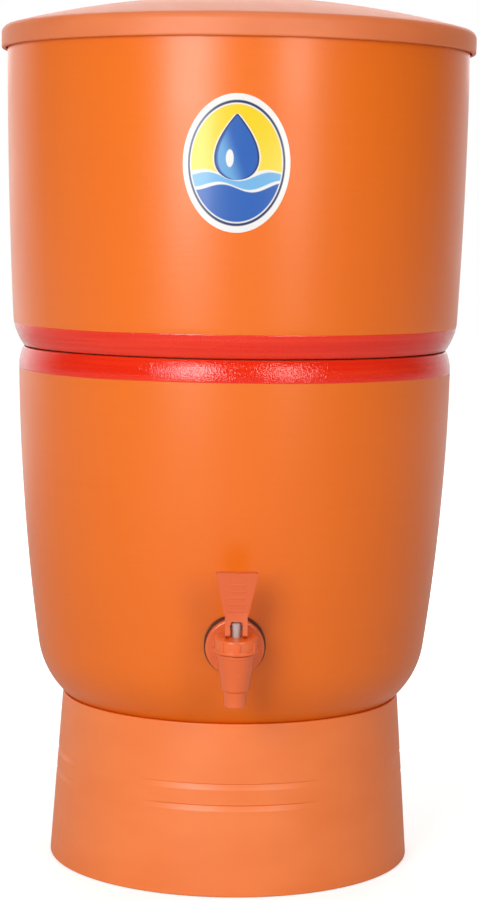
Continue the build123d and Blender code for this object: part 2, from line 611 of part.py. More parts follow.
def candle_shell():
    """Porous ceramic dome."""
    bottom = CANDLE_SEAT + CANDLE_CUP_FLOOR
    top = bottom + CANDLE_HEIGHT
    cavity = candle_form(CANDLE_RADIUS - CANDLE_WALL, bottom, top - CANDLE_WALL)
    return candle_form(CANDLE_RADIUS, bottom, top) - cavity


def candle_carbon():
    """Carbon core that stands inside the ceramic."""
    radius = CANDLE_RADIUS - CANDLE_WALL - CARBON_CLEARANCE
    bottom = CANDLE_SEAT + CANDLE_CUP_FLOOR
    return candle_form(radius, bottom, bottom + CARBON_HEIGHT)


def candle_washer(bottom):
    """Rubber washer on the candle's stem."""
    return tube(WASHER_RADIUS, CANDLE_STEM_RADIUS + WASHER_FIT, bottom, bottom + WASHER_THICKNESS)


def candle_wing_nut():
    """Nut with two wings that clamps the candle from below."""
    hub = rod(WING_HUB_RADIUS, WING_NUT_BOTTOM, WING_NUT_TOP)
    wings = Pos(0, 0, WING_NUT_BOTTOM) * Box(WING_SPAN, WING_THICKNESS, WING_NUT_HEIGHT,
                                             align=ON_BASE)
    wings = fillet(wings.edges().filter_by(Axis.Y), WING_THICKNESS / 2)
    hole = rod(CANDLE_STEM_RADIUS + THREAD_CLEARANCE, WING_NUT_BOTTOM, WING_NUT_TOP)
    return hub + wings - hole


def float_valve_body():
    """Valve that screws on the candle's stem, with the hinge ears and the outlet nozzle."""
    body = rod(FLOAT_BODY_RADIUS, FLOAT_BODY_BOTTOM, FLOAT_BODY_TOP)
    nozzle = rod(FLOAT_NOZZLE_RADIUS, FLOAT_OUTLET, FLOAT_BODY_BOTTOM)
    ear_inner = ARM_WIDTH / 2 + EAR_CLEARANCE
    ear_bottom = HINGE_HEIGHT - EAR_WIDTH / 2
    ear_outer = ear_inner + EAR_THICKNESS
    ear_end = sqrt(FLOAT_BODY_RADIUS ** 2 - ear_outer ** 2)
    reach = HINGE_REACH + EAR_WIDTH / 2 - ear_end + EAR_THICKNESS
    pair = Box(reach, 2 * ear_outer, FLOAT_BODY_BOTTOM + EAR_RISE - ear_bottom, align=ON_BASE)
    gap = Box(2 * reach, 2 * ear_inner, FLOAT_BODY_BOTTOM - ear_bottom, align=ON_BASE)
    middle = Pos(-HINGE_REACH - EAR_WIDTH / 2 + reach / 2, 0, ear_bottom)
    ears = fillet((middle * pair).edges().filter_by(Axis.Y).sort_by(Axis.X)[0:2], EAR_THICKNESS)
    socket = rod(CANDLE_STEM_RADIUS + THREAD_CLEARANCE, FLOAT_BODY_TOP - FLOAT_SOCKET_DEPTH,
                 FLOAT_BODY_TOP)
    bore = rod(FLOAT_NOZZLE_BORE, FLOAT_OUTLET, FLOAT_BODY_TOP)
    hinge = Pos(-HINGE_REACH, 0, HINGE_HEIGHT) * Rot(90, 0, 0) * Cylinder(
        HINGE_PIN_RADIUS + PIN_STEM_FIT, 2 * ear_outer)
    return body + (ears - middle * gap) + nozzle - socket - bore - hinge


def float_hinge_pin():
    """Pin through the ears and the arm's knuckle."""
    length = ARM_WIDTH + 2 * (EAR_CLEARANCE + EAR_THICKNESS)
    return Pos(-HINGE_REACH, 0, HINGE_HEIGHT) * Rot(90, 0, 0) * Cylinder(HINGE_PIN_RADIUS, length)


def hanging(piece):
    """Let a piece of the float's arm hang by its drop about the hinge pin."""
    return Pos(-HINGE_REACH, 0, HINGE_HEIGHT) * Rot(0, FLOAT_DROP, 0) * Pos(
        HINGE_REACH, 0, -HINGE_HEIGHT) * piece


def float_arm():
    """Arm with its knuckle at the hinge and a peg for the float."""
    length = HINGE_REACH + ARM_REACH + FLOAT_PEG_RADIUS
    bar = Pos(-HINGE_REACH + length / 2, 0, ARM_TOP - ARM_THICKNESS) * Box(
        length, ARM_WIDTH, ARM_THICKNESS, align=ON_BASE)
    knuckle = Pos(-HINGE_REACH, 0, HINGE_HEIGHT) * Rot(90, 0, 0) * Cylinder(
        ARM_KNUCKLE_RADIUS, ARM_WIDTH)
    hole = Pos(-HINGE_REACH, 0, HINGE_HEIGHT) * Rot(90, 0, 0) * Cylinder(
        HINGE_PIN_RADIUS + PIN_RUNNING_CLEARANCE, ARM_WIDTH)
    peg = Pos(ARM_REACH, 0, ARM_TOP - ARM_THICKNESS) * Cylinder(
        FLOAT_PEG_RADIUS, FLOAT_PEG_LENGTH, align=FROM_TOP)
    return hanging(bar + knuckle + peg - hole)


def float_valve_pad():
    """Rubber pad on the arm that closes the outlet."""
    return hanging(rod(PAD_RADIUS, ARM_TOP, ARM_TOP + PAD_THICKNESS))


def float_bulb():
    """Float on the arm's peg."""
    top = ARM_TOP - ARM_THICKNESS
    bulb = rod(FLOAT_RADIUS, top - FLOAT_HEIGHT, top)
    bulb = fillet(bulb.edges().filter_by(GeomType.CIRCLE), FLOAT_ROUND)
    socket = rod(FLOAT_PEG_RADIUS + FLOAT_PEG_FIT, top - FLOAT_PEG_LENGTH, top)
    return hanging(Pos(ARM_REACH, 0, 0) * (bulb - socket))


PIECES = {
    "base_stand": base_stand,
    "lower_chamber": lower_chamber,
    "upper_chamber": upper_chamber,
    "lid": lid,
    "front_label": front_label,
    "tap_front_gasket": tap_front_gasket,
    "tap_rear_gasket": tap_rear_gasket,
    "tap_lock_nut": tap_lock_nut,
    "tap_body": tap_body,
    "tap_cap_nut": tap_cap_nut,
    "tap_spring": tap_spring,
    "tap_stem": tap_stem,
    "tap_seat_cup": tap_seat_cup,
    "lever_pin": lever_pin,
    "tap_lever": tap_lever,
    "candle_shell": candle_shell,
    "candle_carbon": candle_carbon,
    "candle_base": candle_base,
    "candle_upper_washer": lambda: candle_washer(UPPER_FLOOR_TOP),
    "candle_lower_washer": lambda: candle_washer(WING_NUT_TOP),
    "candle_wing_nut": candle_wing_nut,
    "float_valve_body": float_valve_body,
    "float_hinge_pin": float_hinge_pin,
    "float_arm": float_arm,
    "float_valve_pad": float_valve_pad,
    "float": float_bulb,
}

os.makedirs("parts", exist_ok=True)
for name, make in PIECES.items():
    export_step(make(), f"parts/{name}.step")

valve_axis = TAP_PLACE * VALVE
pin_at = (valve_axis * Pos(0, 0, PIN_LEVEL)).position
print(f"tap leans {TAP_LEAN:.3f} degrees")
print(f"lever pin at {pin_at.X:.3f}, {pin_at.Y:.3f}, {pin_at.Z:.3f}")
print(f"float hinge at {-HINGE_REACH:.3f}, 0, {HINGE_HEIGHT:.3f}")
spring_top = (valve_axis * Pos(0, 0, CAP_TOP - CAP_TOP_THICKNESS)).position
print(f"spring's fixed end at height {spring_top.Z:.3f}")
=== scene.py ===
"""Gravity water filter with a lever tap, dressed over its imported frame.

Sizes are in millimetres and angles in degrees until a mesh or a material is made. The tap
faces -Y, and +Z is up.
"""
import json
import logging
import math
from collections.abc import Callable, Mapping, Sequence
from dataclasses import dataclass
from enum import Enum, IntEnum
from typing import Union

import bpy
from mathutils import Matrix, Vector


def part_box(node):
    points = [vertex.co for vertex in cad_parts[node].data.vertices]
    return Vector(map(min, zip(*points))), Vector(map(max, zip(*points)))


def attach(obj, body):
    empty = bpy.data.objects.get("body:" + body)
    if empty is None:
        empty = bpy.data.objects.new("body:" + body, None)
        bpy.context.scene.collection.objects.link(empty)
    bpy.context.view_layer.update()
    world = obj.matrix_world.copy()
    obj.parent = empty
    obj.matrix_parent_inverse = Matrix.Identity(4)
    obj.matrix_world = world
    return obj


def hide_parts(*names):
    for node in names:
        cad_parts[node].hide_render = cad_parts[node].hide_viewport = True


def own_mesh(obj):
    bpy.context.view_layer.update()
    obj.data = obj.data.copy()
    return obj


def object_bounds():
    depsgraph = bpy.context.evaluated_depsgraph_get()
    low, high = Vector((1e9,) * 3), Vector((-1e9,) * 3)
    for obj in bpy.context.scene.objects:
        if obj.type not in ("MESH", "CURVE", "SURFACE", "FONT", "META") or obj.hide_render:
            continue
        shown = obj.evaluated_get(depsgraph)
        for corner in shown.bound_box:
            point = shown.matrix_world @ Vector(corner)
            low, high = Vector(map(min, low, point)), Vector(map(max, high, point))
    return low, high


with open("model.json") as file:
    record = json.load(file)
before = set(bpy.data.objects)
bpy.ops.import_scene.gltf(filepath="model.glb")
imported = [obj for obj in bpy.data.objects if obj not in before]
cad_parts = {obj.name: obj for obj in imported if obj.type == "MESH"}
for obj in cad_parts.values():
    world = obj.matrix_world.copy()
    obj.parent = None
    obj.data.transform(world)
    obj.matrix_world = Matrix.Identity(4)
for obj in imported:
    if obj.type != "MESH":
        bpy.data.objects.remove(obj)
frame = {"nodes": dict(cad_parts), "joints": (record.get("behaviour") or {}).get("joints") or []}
CAD_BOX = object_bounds()
LOG = logging.getLogger("water_filter")
MM = 0.001
TINY = 1e-6

Number = Union["Signal", float]
Link = Union["Signal", bpy.types.NodeSocket]
Colour = tuple[float, float, float]
Shift = Callable[[float, float], float]


def joint(name: str) -> Mapping[str, object]:
    """Give what the frame holds on a joint."""
    return next(item for item in frame["joints"] if item["name"] == name)


# ---------------------------------------------------------------- shader building


class Signal:
    """A number that varies over a surface, with arithmetic that adds Math nodes."""

    def __init__(self, bench: "Bench", socket: bpy.types.NodeSocket) -> None:
        """Keep the bench that makes further nodes, and the socket that gives the number."""
        self.bench = bench
        self.socket = socket

    def __add__(self, other: Number) -> "Signal":
        """Give self + other."""
        return self.bench.maths("ADD", self, other)

    def __radd__(self, other: Number) -> "Signal":
        """Give other + self."""
        return self.bench.maths("ADD", other, self)

    def __sub__(self, other: Number) -> "Signal":
        """Give self - other."""
        return self.bench.maths("SUBTRACT", self, other)

    def __rsub__(self, other: Number) -> "Signal":
        """Give other - self."""
        return self.bench.maths("SUBTRACT", other, self)

    def __mul__(self, other: Number) -> "Signal":
        """Give self * other."""
        return self.bench.maths("MULTIPLY", self, other)

    def __rmul__(self, other: Number) -> "Signal":
        """Give other * self."""
        return self.bench.maths("MULTIPLY", other, self)

    def __truediv__(self, other: Number) -> "Signal":
        """Give self / other."""
        return self.bench.maths("DIVIDE", self, other)

    def __pow__(self, other: Number) -> "Signal":
        """Give self to the power of other."""
        return self.bench.maths("POWER", self, other)

    def __abs__(self) -> "Signal":
        """Give the size of self."""
        return self.bench.maths("ABSOLUTE", self)


class Bench:
    """Makes and links the nodes of one material or of the world."""

    def __init__(self, tree: bpy.types.NodeTree) -> None:
        """Start on an emptied node tree."""
        self.tree = tree
        tree.nodes.clear()

    def make(self, kind: str, settings: Mapping[str, object] | None = None,
             sockets: Mapping[int | str, object] | None = None) -> bpy.types.Node:
        """Make one node.

        Args:
            kind: The node's type.
            settings: Its options, which are set first. "stops" holds a ramp's stops, as
                pairs of a place and a colour.
            sockets: A value or a link for each of its inputs, by name or number.

        Returns:
            The node.
        """
        node = self.tree.nodes.new(kind)
        for name, value in (settings or {}).items():
            if name == "stops":
                self._set_stops(node.color_ramp, value)
            else:
                setattr(node, name, value)
        for key, value in (sockets or {}).items():
            if isinstance(value, Signal):
                value = value.socket
            if isinstance(value, bpy.types.NodeSocket):
                self.tree.links.new(value, node.inputs[key])
            else:
                node.inputs[key].default_value = value
        return node

    def _set_stops(self, ramp: bpy.types.ColorRamp,
                   stops: Sequence[tuple[float, Colour]]) -> None:
        """Give a ramp its stops, from its low end to its high end.

        Args:
            ramp: The ramp.
            stops: A place from 0 to 1 and a colour for each stop.
        """
        while len(ramp.elements) < len(stops):
            ramp.elements.new(1.0)
        for element, (place, colour) in zip(ramp.elements, stops):
            element.position = place
            element.color = (*colour, 1.0)

    def maths(self, operation: str, *values: Number) -> Signal:
        """Put numbers through one Math node.

        Args:
            operation: The node's operation.
            values: Its inputs, in order.

        Returns:
            The result.
        """
        sockets = dict(enumerate(values))
        node = self.make("ShaderNodeMath", {"operation": operation}, sockets)
        return Signal(self, node.outputs[0])

    def rise(self, value: Number, low: float, high: float) -> Signal:
        """Give 0 below low and 1 above high, with a smooth rise between.

        Args:
            value: What is measured.
            low: Where the rise starts.
            high: Where it ends. Below low, the result falls instead.

        Returns:
            The share, from 0 to 1.
        """
        node = self.make("ShaderNodeMapRange", {"interpolation_type": "SMOOTHSTEP"},
                         {"Value": value, "From Min": low, "From Max": high})
        return Signal(self, node.outputs[0])

    def blend(self, share: Number, low: object, high: object) -> bpy.types.NodeSocket:
        """Mix two colours, from low at a share of 0 to high at a share of 1.

        Args:
            share: How far the mix goes towards high.
            low: The colour at 0.
            high: The colour at 1.

        Returns:
            The mixed colour.
        """
        node = self.make("ShaderNodeMix", {"data_type": "RGBA"},
                         {0: share, 6: opaque(low), 7: opaque(high)})
        return node.outputs[2]

    def place(self) -> tuple[bpy.types.NodeSocket, Signal, Signal, Signal]:
        """Give the point on the object, in metres, and its three coordinates.

        Returns:
            The point, then its X, Y and Z.
        """
        spot = self.make("ShaderNodeTexCoord").outputs["Object"]
        parts = self.make("ShaderNodeSeparateXYZ", sockets={0: spot}).outputs
        return spot, Signal(self, parts[0]), Signal(self, parts[1]), Signal(self, parts[2])

    def stretch(self, spot: Link, scale: tuple[float, float, float]) -> bpy.types.NodeSocket:
        """Multiply a point by a number along each axis."""
        node = self.make("ShaderNodeVectorMath", {"operation": "MULTIPLY"}, {0: spot, 1: scale})
        return node.outputs[0]

    def noise(self, spot: Link, scale: float, detail: float = 2.0,
              roughness: float = 0.5) -> Signal:
        """Give soft noise from 0 to 1, with scale features in each unit of the point.

        Args:
            spot: The point.
            scale: How many features lie in a unit of the point.
            detail: How many finer layers it has.
            roughness: How strong each finer layer is.

        Returns:
            The noise.
        """
        node = self.make("ShaderNodeTexNoise", None,
                         {"Vector": spot, "Scale": scale, "Detail": detail,
                          "Roughness": roughness})
        return Signal(self, node.outputs[0])

    def bump(self, height: Signal, depth: float, under: Link | None = None
             ) -> bpy.types.NodeSocket:
        """Turn a height into a normal.

        Args:
            height: The height, from 0 to 1.
            depth: What a height of 1 stands for, in millimetres.
            under: A normal that this one goes over.

        Returns:
            The normal.
        """
        sockets = {"Height": height, "Distance": depth * MM, "Strength": 1.0}
        if under is not None:
            sockets["Normal"] = under
        return self.make("ShaderNodeBump", None, sockets).outputs[0]


def opaque(colour: object) -> object:
    """Give a colour an alpha of 1, and a link as it is."""
    return (*colour, 1.0) if isinstance(colour, tuple) else colour


def tint(red: int, green: int, blue: int) -> Colour:
    """Give the linear colour that shows as these screen values from 0 to 255.

    Args:
        red: The red value.
        green: The green value.
        blue: The blue value.

    Returns:
        The linear colour.
    """
    def linear(value: float) -> float:
        """Undo the screen's curve for one channel."""
        return value / 12.92 if value <= 0.04045 else ((value + 0.055) / 1.055) ** 2.4
    return linear(red / 255), linear(green / 255), linear(blue / 255)


# ---------------------------------------------------------------- finishes


@dataclass(frozen=True)
class Finish:
    """What every finish has: a name, and one material that its pieces share."""

    name: str

    def material(self) -> bpy.types.Material:
        """Give the finish's material, made when it is first asked for.

        Returns:
            The material.
        """
        found = bpy.data.materials.get(self.name)
        if found is None:
            found = bpy.data.materials.new(self.name)
            found.use_nodes = True
            bench = Bench(found.node_tree)
            shader = bench.make("ShaderNodeBsdfPrincipled", None, self.sockets(bench))
            bench.make("ShaderNodeOutputMaterial", None, {"Surface": shader.outputs[0]})
        return found

    def sockets(self, bench: Bench) -> dict[str, object]:
        """Give the Principled shader's values and links."""
        raise NotImplementedError


@dataclass(frozen=True)
class PaintedClay(Finish):
    """Satin paint on fired clay, with a glossy painted band round the seam."""

    paint: Colour = tint(237, 114, 9)
    paint_worn: Colour = tint(230, 106, 6)
    band: Colour = tint(229, 38, 11)
    band_thin: Colour = tint(236, 52, 18)
    band_low: float = 283.4
    band_high: float = 309.0
    edge_blur: float = 0.3
    edge_wave: float = 0.9
    bead: float = 0.6
    bead_rise: float = 0.13
    paint_roughness: float = 0.335
    roughness_spread: float = 0.10
    band_roughness: float = 0.07
    specular: float = 0.55
    wander_scale: float = 16.0
    streaks: tuple[float, float, float] = (9.0, 9.0, 420.0)
    streak_share: float = 0.45
    streak_depth: float = 0.030
    cloud_scale: float = 24.0
    grain_scale: float = 420.0
    grain_depth: float = 0.05
    peel_scale: float = 1450.0
    peel_depth: float = 0.15

    def sockets(self, bench: Bench) -> dict[str, object]:
        """Paint the clay, the band with its brushed edges, and the orange peel on both.

        Args:
            bench: Where the nodes are made.

        Returns:
            The shader's values and links.
        """
        spot, _, _, height = bench.place()
        wander = bench.noise(bench.stretch(spot, (1, 1, 0.2)), self.wander_scale, 1.5) - 0.5
        level = height + wander * (self.edge_wave * MM)
        blur = self.edge_blur * MM
        low, high = self.band_low * MM, self.band_high * MM
        band = (bench.rise(level, low - blur, low + blur)
                * bench.rise(level, high + blur, high - blur))
        brushed = bench.noise(bench.stretch(spot, self.streaks), 1.0, 3.0, 0.6)
        cloud = bench.noise(spot, self.cloud_scale)
        worn = brushed * self.streak_share + cloud * (1 - self.streak_share)
        paint = bench.blend(worn, self.paint, self.paint_worn)
        red = bench.blend(bench.rise(brushed, 0.35, 0.7), self.band, self.band_thin)
        peel = bench.noise(spot, self.peel_scale, 0.0)
        grain = bench.noise(spot, self.grain_scale, 3.0, 0.6)
        bead = self.bead * MM
        film = bench.rise(level, low, low + bead) * bench.rise(level, high, high - bead)
        relief = bench.bump(film, self.bead_rise)
        relief = bench.bump(brushed, self.streak_depth, relief)
        relief = bench.bump(grain * (1 - band), self.grain_depth, relief)
        relief = bench.bump(peel * band, self.peel_depth, relief)
        rough = self.paint_roughness + (cloud - 0.5) * self.roughness_spread
        return {"Base Color": bench.blend(band, paint, red),
                "Roughness": rough * (1 - band) + band * self.band_roughness,
                "Specular IOR Level": self.specular, "Normal": relief}


@dataclass(frozen=True)
class RawClay(Finish):
    """Unpainted fired clay, with throwing rings and grog."""

    light: Colour = tint(214, 138, 98)
    dark: Colour = tint(184, 104, 68)
    speck: Colour = tint(150, 84, 58)
    roughness: float = 0.88
    specular: float = 0.25
    mottle_scale: float = 38.0
    ring_stretch: tuple[float, float, float] = (5.0, 5.0, 300.0)
    ring_depth: float = 0.25
    grog_scale: float = 900.0
    grog_depth: float = 0.12

    def sockets(self, bench: Bench) -> dict[str, object]:
        """Mottle the clay, and raise its rings and grains.

        Args:
            bench: Where the nodes are made.

        Returns:
            The shader's values and links.
        """
        spot, _, _, _ = bench.place()
        mottle = bench.noise(spot, self.mottle_scale, 4.0, 0.6)
        rings = bench.noise(bench.stretch(spot, self.ring_stretch), 1.0)
        grog = bench.noise(spot, self.grog_scale, roughness=0.7)
        body = bench.blend(mottle * 0.6 + rings * 0.4, self.dark, self.light)
        colour = bench.blend(bench.rise(grog, 0.62, 0.72) * 0.7, body, self.speck)
        relief = bench.bump(rings, self.ring_depth)
        return {"Base Color": colour, "Roughness": self.roughness,
                "Specular IOR Level": self.specular,
                "Normal": bench.bump(grog, self.grog_depth, relief)}


@dataclass(frozen=True)
class Moulded(Finish):
    """Injection-moulded plastic: nearly even colour, spark-eroded grain and faint flow lines."""

    light: Colour
    dark: Colour
    roughness: float = 0.45
    grain_scale: float = 1500.0
    grain_depth: float = 0.012
    specular: float = 0.5
    subsurface: float = 0.0
    subsurface_scale: float = 0.002
    flow_scale: float = 18.0
    scuff_scale: float = 140.0
    roughness_spread: float = 0.14

    def sockets(self, bench: Bench) -> dict[str, object]:
        """Cloud the colour a little, and give the mould's grain.

        Args:
            bench: Where the nodes are made.

        Returns:
            The shader's values and links.
        """
        spot, _, _, _ = bench.place()
        flow = bench.noise(bench.stretch(spot, (1, 1, 2.2)), self.flow_scale, 2.5, 0.55)
        scuff = bench.noise(spot, self.scuff_scale, 4.0, 0.65)
        grain = bench.noise(spot, self.grain_scale, 1.5)
        rough = self.roughness + (scuff - 0.5) * self.roughness_spread
        return {"Base Color": bench.blend(bench.rise(flow, 0.2, 0.8), self.dark, self.light),
                "Roughness": rough, "Specular IOR Level": self.specular,
                "Subsurface Weight": self.subsurface, "Subsurface Scale": self.subsurface_scale,
                "Normal": bench.bump(grain, self.grain_depth)}


@dataclass(frozen=True)
class Rubber(Finish):
    """Moulded rubber with a dusty bloom."""

    body: Colour
    bloom: Colour
    roughness: float = 0.62
    roughness_spread: float = 0.2
    specular: float = 0.4
    dust_scale: float = 260.0
    dust_depth: float = 0.03

    def sockets(self, bench: Bench) -> dict[str, object]:
        """Dust the rubber unevenly.

        Args:
            bench: Where the nodes are made.

        Returns:
            The shader's values and links.
        """
        spot, _, _, _ = bench.place()
        dust = bench.noise(spot, self.dust_scale, 4.0, 0.6)
        return {"Base Color": bench.blend(bench.rise(dust, 0.45, 0.85), self.body, self.bloom),
                "Roughness": self.roughness + (dust - 0.5) * self.roughness_spread,
                "Specular IOR Level": self.specular, "Normal": bench.bump(dust, self.dust_depth)}


@dataclass(frozen=True)
class Steel(Finish):
    """Drawn steel wire or pin, with fine marks along it."""

    along: tuple[float, float, float] = (1.0, 1.0, 1.0)
    light: Colour = tint(214, 214, 216)
    dark: Colour = tint(188, 188, 190)
    roughness: float = 0.22
    roughness_spread: float = 0.16
    mark_scale: float = 900.0
    mark_depth: float = 0.006

    def sockets(self, bench: Bench) -> dict[str, object]:
        """Streak the metal.

        Args:
            bench: Where the nodes are made.

        Returns:
            The shader's values and links.
        """
        spot, _, _, _ = bench.place()
        marks = bench.noise(bench.stretch(spot, self.along), self.mark_scale, 3.0, 0.7)
        return {"Base Color": bench.blend(marks, self.dark, self.light), "Metallic": 1.0,
                "Roughness": self.roughness + marks * self.roughness_spread,
                "Normal": bench.bump(marks, self.mark_depth)}


@dataclass(frozen=True)
class PorousCeramic(Finish):
    """Unglazed white filter ceramic."""

    light: Colour = tint(243, 240, 231)
    dark: Colour = tint(222, 217, 203)
    roughness: float = 0.86
    specular: float = 0.3
    pit_scale: float = 1300.0
    ring_stretch: tuple[float, float, float] = (3.0, 3.0, 190.0)
    depth: float = 0.06

    def sockets(self, bench: Bench) -> dict[str, object]:
        """Speckle and pit the ceramic, with faint casting rings.

        Args:
            bench: Where the nodes are made.

        Returns:
            The shader's values and links.
        """
        spot, _, _, _ = bench.place()
        pits = bench.noise(spot, self.pit_scale, roughness=0.7)
        rings = bench.noise(bench.stretch(spot, self.ring_stretch), 1.0)
        tone = bench.blend(pits * 0.5 + rings * 0.5, self.dark, self.light)
        relief = bench.bump(rings, self.depth)
        return {"Base Color": tone, "Roughness": self.roughness,
                "Specular IOR Level": self.specular,
                "Normal": bench.bump(pits, self.depth, relief)}


@dataclass(frozen=True)
class Charcoal(Finish):
    """Pressed activated carbon."""

    light: Colour = tint(58, 57, 56)
    dark: Colour = tint(22, 22, 23)
    roughness: float = 0.55
    roughness_spread: float = 0.3
    grain_scale: float = 700.0
    grain_depth: float = 0.35

    def sockets(self, bench: Bench) -> dict[str, object]:
        """Break the surface into grains, a few of them shiny.

        Args:
            bench: Where the nodes are made.

        Returns:
            The shader's values and links.
        """
        spot, _, _, _ = bench.place()
        cells = bench.make("ShaderNodeTexVoronoi", None,
                           {"Vector": spot, "Scale": self.grain_scale})
        grain = Signal(bench, cells.outputs[0])
        return {"Base Color": bench.blend(grain, self.dark, self.light),
                "Roughness": self.roughness + grain * self.roughness_spread,
                "Normal": bench.bump(grain, self.grain_depth)}


@dataclass(frozen=True)
class Sticker(Finish):
    """Printed oval film: a water drop on yellow over blue waves, with a lined border."""

    middle_x: float
    middle_z: float
    half_width: float
    half_height: float
    field: Colour = tint(236, 206, 12)
    field_low: Colour = tint(238, 217, 76)
    white: Colour = tint(232, 233, 231)
    ink: Colour = tint(22, 40, 92)
    blue: Colour = tint(28, 92, 178)
    pale_blue: Colour = tint(112, 178, 226)
    line_out: float = 0.905
    line_in: float = 0.865
    inner_line: float = 0.845
    drop_foot: float = -0.24
    drop_top: float = 0.70
    drop_half_width: float = 0.40
    blur: float = 0.010
    wave_count: float = 5.6
    wave_shift: float = 9.0
    wave_height: float = 0.055
    wave_sag: float = 0.05
    roughness: float = 0.34
    roughness_spread: float = 0.1
    coat: float = 0.35
    coat_roughness: float = 0.18
    paper_scale: float = 500.0
    paper_depth: float = 0.010

    def sockets(self, bench: Bench) -> dict[str, object]:
        """Print the film from the back layer to the front one.

        Args:
            bench: Where the nodes are made.

        Returns:
            The shader's values and links.
        """
        spot, east, _, north = bench.place()
        across = (east - self.middle_x * MM) / (self.half_width * MM)
        up = (north - self.middle_z * MM) / (self.half_height * MM)
        reach = (across * across + up * up) ** 0.5
        tone = bench.blend(bench.rise(up, -0.4, 0.7), self.field_low, self.field)
        for level, colour in ((-0.16, self.white), (-0.20, self.pale_blue), (-0.33, self.white),
                              (-0.365, self.blue)):
            tone = bench.blend(self._below_wave(bench, across, up, level), tone, colour)
        tone = self._drop(bench, across, up, tone)
        for edge, colour in ((self.inner_line, self.white), (self.line_in, self.ink),
                             (self.line_out, self.white)):
            tone = bench.blend(bench.rise(reach, edge - self.blur, edge + self.blur), tone, colour)
        paper = bench.noise(spot, self.paper_scale)
        return {"Base Color": tone,
                "Roughness": self.roughness + (paper - 0.5) * self.roughness_spread,
                "Coat Weight": self.coat, "Coat Roughness": self.coat_roughness,
                "Normal": bench.bump(paper, self.paper_depth)}

    def _below_wave(self, bench: Bench, across: Signal, up: Signal, level: float) -> Signal:
        """Give 1 below a wave that crosses the film at a level.

        Args:
            bench: Where the nodes are made.
            across: Place across the film, from -1 to 1.
            up: Place up the film, from -1 to 1.
            level: The height of the wave's middle.

        Returns:
            The mask.
        """
        wave = bench.maths("SINE", across * self.wave_count + level * self.wave_shift)
        crest = up - wave * self.wave_height - across * across * self.wave_sag
        return bench.rise(crest, level + self.blur, level - self.blur)

    def _drop(self, bench: Bench, across: Signal, up: Signal, under: Link
              ) -> bpy.types.NodeSocket:
        """Draw a water drop with an outline, a shaded side and a glint.

        Args:
            bench: Where the nodes are made.
            across: Place across the film, from -1 to 1.
            up: Place up the film, from -1 to 1.
            under: The colour that the drop lies on.

        Returns:
            The colour with the drop on it.
        """
        share = (up - self.drop_foot) / (self.drop_top - self.drop_foot)
        inside = bench.maths("MINIMUM", bench.maths("MAXIMUM", share, 0.0), 1.0)
        # the drop is widest at a third of its height
        widest = math.sqrt(1 / 3) * (1 - 1 / 3)
        width = (inside ** 0.5) * (1 - inside) * (self.drop_half_width / widest)
        gap = width - abs(across) - abs(share - inside) * 4
        tone = bench.blend(bench.rise(gap, -0.055, -0.035), under, self.white)
        tone = bench.blend(bench.rise(gap, -0.030, -0.012), tone, self.ink)
        tone = bench.blend(bench.rise(gap, 0.004, 0.022), tone, self.blue)
        side = across * 1.25 + up * 0.55
        tone = bench.blend(bench.rise(gap, 0.03, 0.06) * bench.rise(side, 0.16, -0.28) * 0.75,
                           tone, self.pale_blue)
        glint_x, glint_z = (across + 0.13) / 0.075, (up - 0.07) / 0.13
        glint = glint_x * glint_x + glint_z * glint_z
        return bench.blend(bench.rise(glint, 1.1, 0.8), tone, self.white)


class Wear(Enum):
    """The finishes of the whole filter."""

    PAINT = PaintedClay("satin_clay_paint")
    CLAY = RawClay("raw_clay")
    STAND = Moulded("stand_moulding", tint(249, 133, 64), tint(243, 124, 55), 0.41,
                    grain_depth=0.018, specular=0.65)
    LID = Moulded("lid_moulding", tint(229, 121, 62), tint(221, 112, 53), 0.52,
                  grain_depth=0.024, specular=0.8)
    TAP = Moulded("tap_moulding", tint(236, 111, 53), tint(229, 103, 45), 0.25, 2600.0, 0.002,
                  specular=0.7)
    LEVER = Moulded("lever_moulding", tint(224, 103, 54), tint(217, 95, 46), 0.40, 2600.0, 0.010)
    STEM = Moulded("stem_moulding", tint(198, 189, 182), tint(182, 172, 168), 0.30, 2600.0,
                   0.004, subsurface=0.3)
    WHITE = Moulded("white_moulding", tint(236, 238, 240), tint(224, 227, 230), 0.35)
    BLUE = Moulded("blue_moulding", tint(46, 104, 190), tint(36, 90, 172), 0.35)
    DARK_RUBBER = Rubber("dark_rubber_moulding", tint(38, 30, 27), tint(74, 60, 54))
    BROWN_RUBBER = Rubber("brown_rubber_moulding", tint(88, 34, 21), tint(122, 58, 42))
    RED_RUBBER = Rubber("red_rubber_moulding", tint(150, 52, 38), tint(176, 88, 70))
    WIRE = Steel("spring_wire", (1.0, 1.0, 3.0))
    PIN = Steel("drawn_pin", (0.2, 1.0, 1.0), tint(150, 148, 147), tint(118, 115, 113))
    CERAMIC = PorousCeramic("porous_ceramic")
    CARBON = Charcoal("pressed_carbon")

    def material(self) -> bpy.types.Material:
        """Give the finish's material."""
        return self.value.material()


# ---------------------------------------------------------------- shapes


class Side(IntEnum):
    """Finish index of a clay wall's stretches."""

    PAINTED = 0
    RAW = 1


@dataclass
class Corner:
    """One point of an outline, how far its corner is softened, and the finish before it."""

    point: Vector
    soften: float
    wear: int


def leaving(start: Vector, end: Vector, arriving: Vector) -> Vector:
    """Give the heading at the start of the arc that reaches end with a heading."""
    chord = (end - start).normalized()
    return 2 * chord.dot(arriving) * chord - arriving


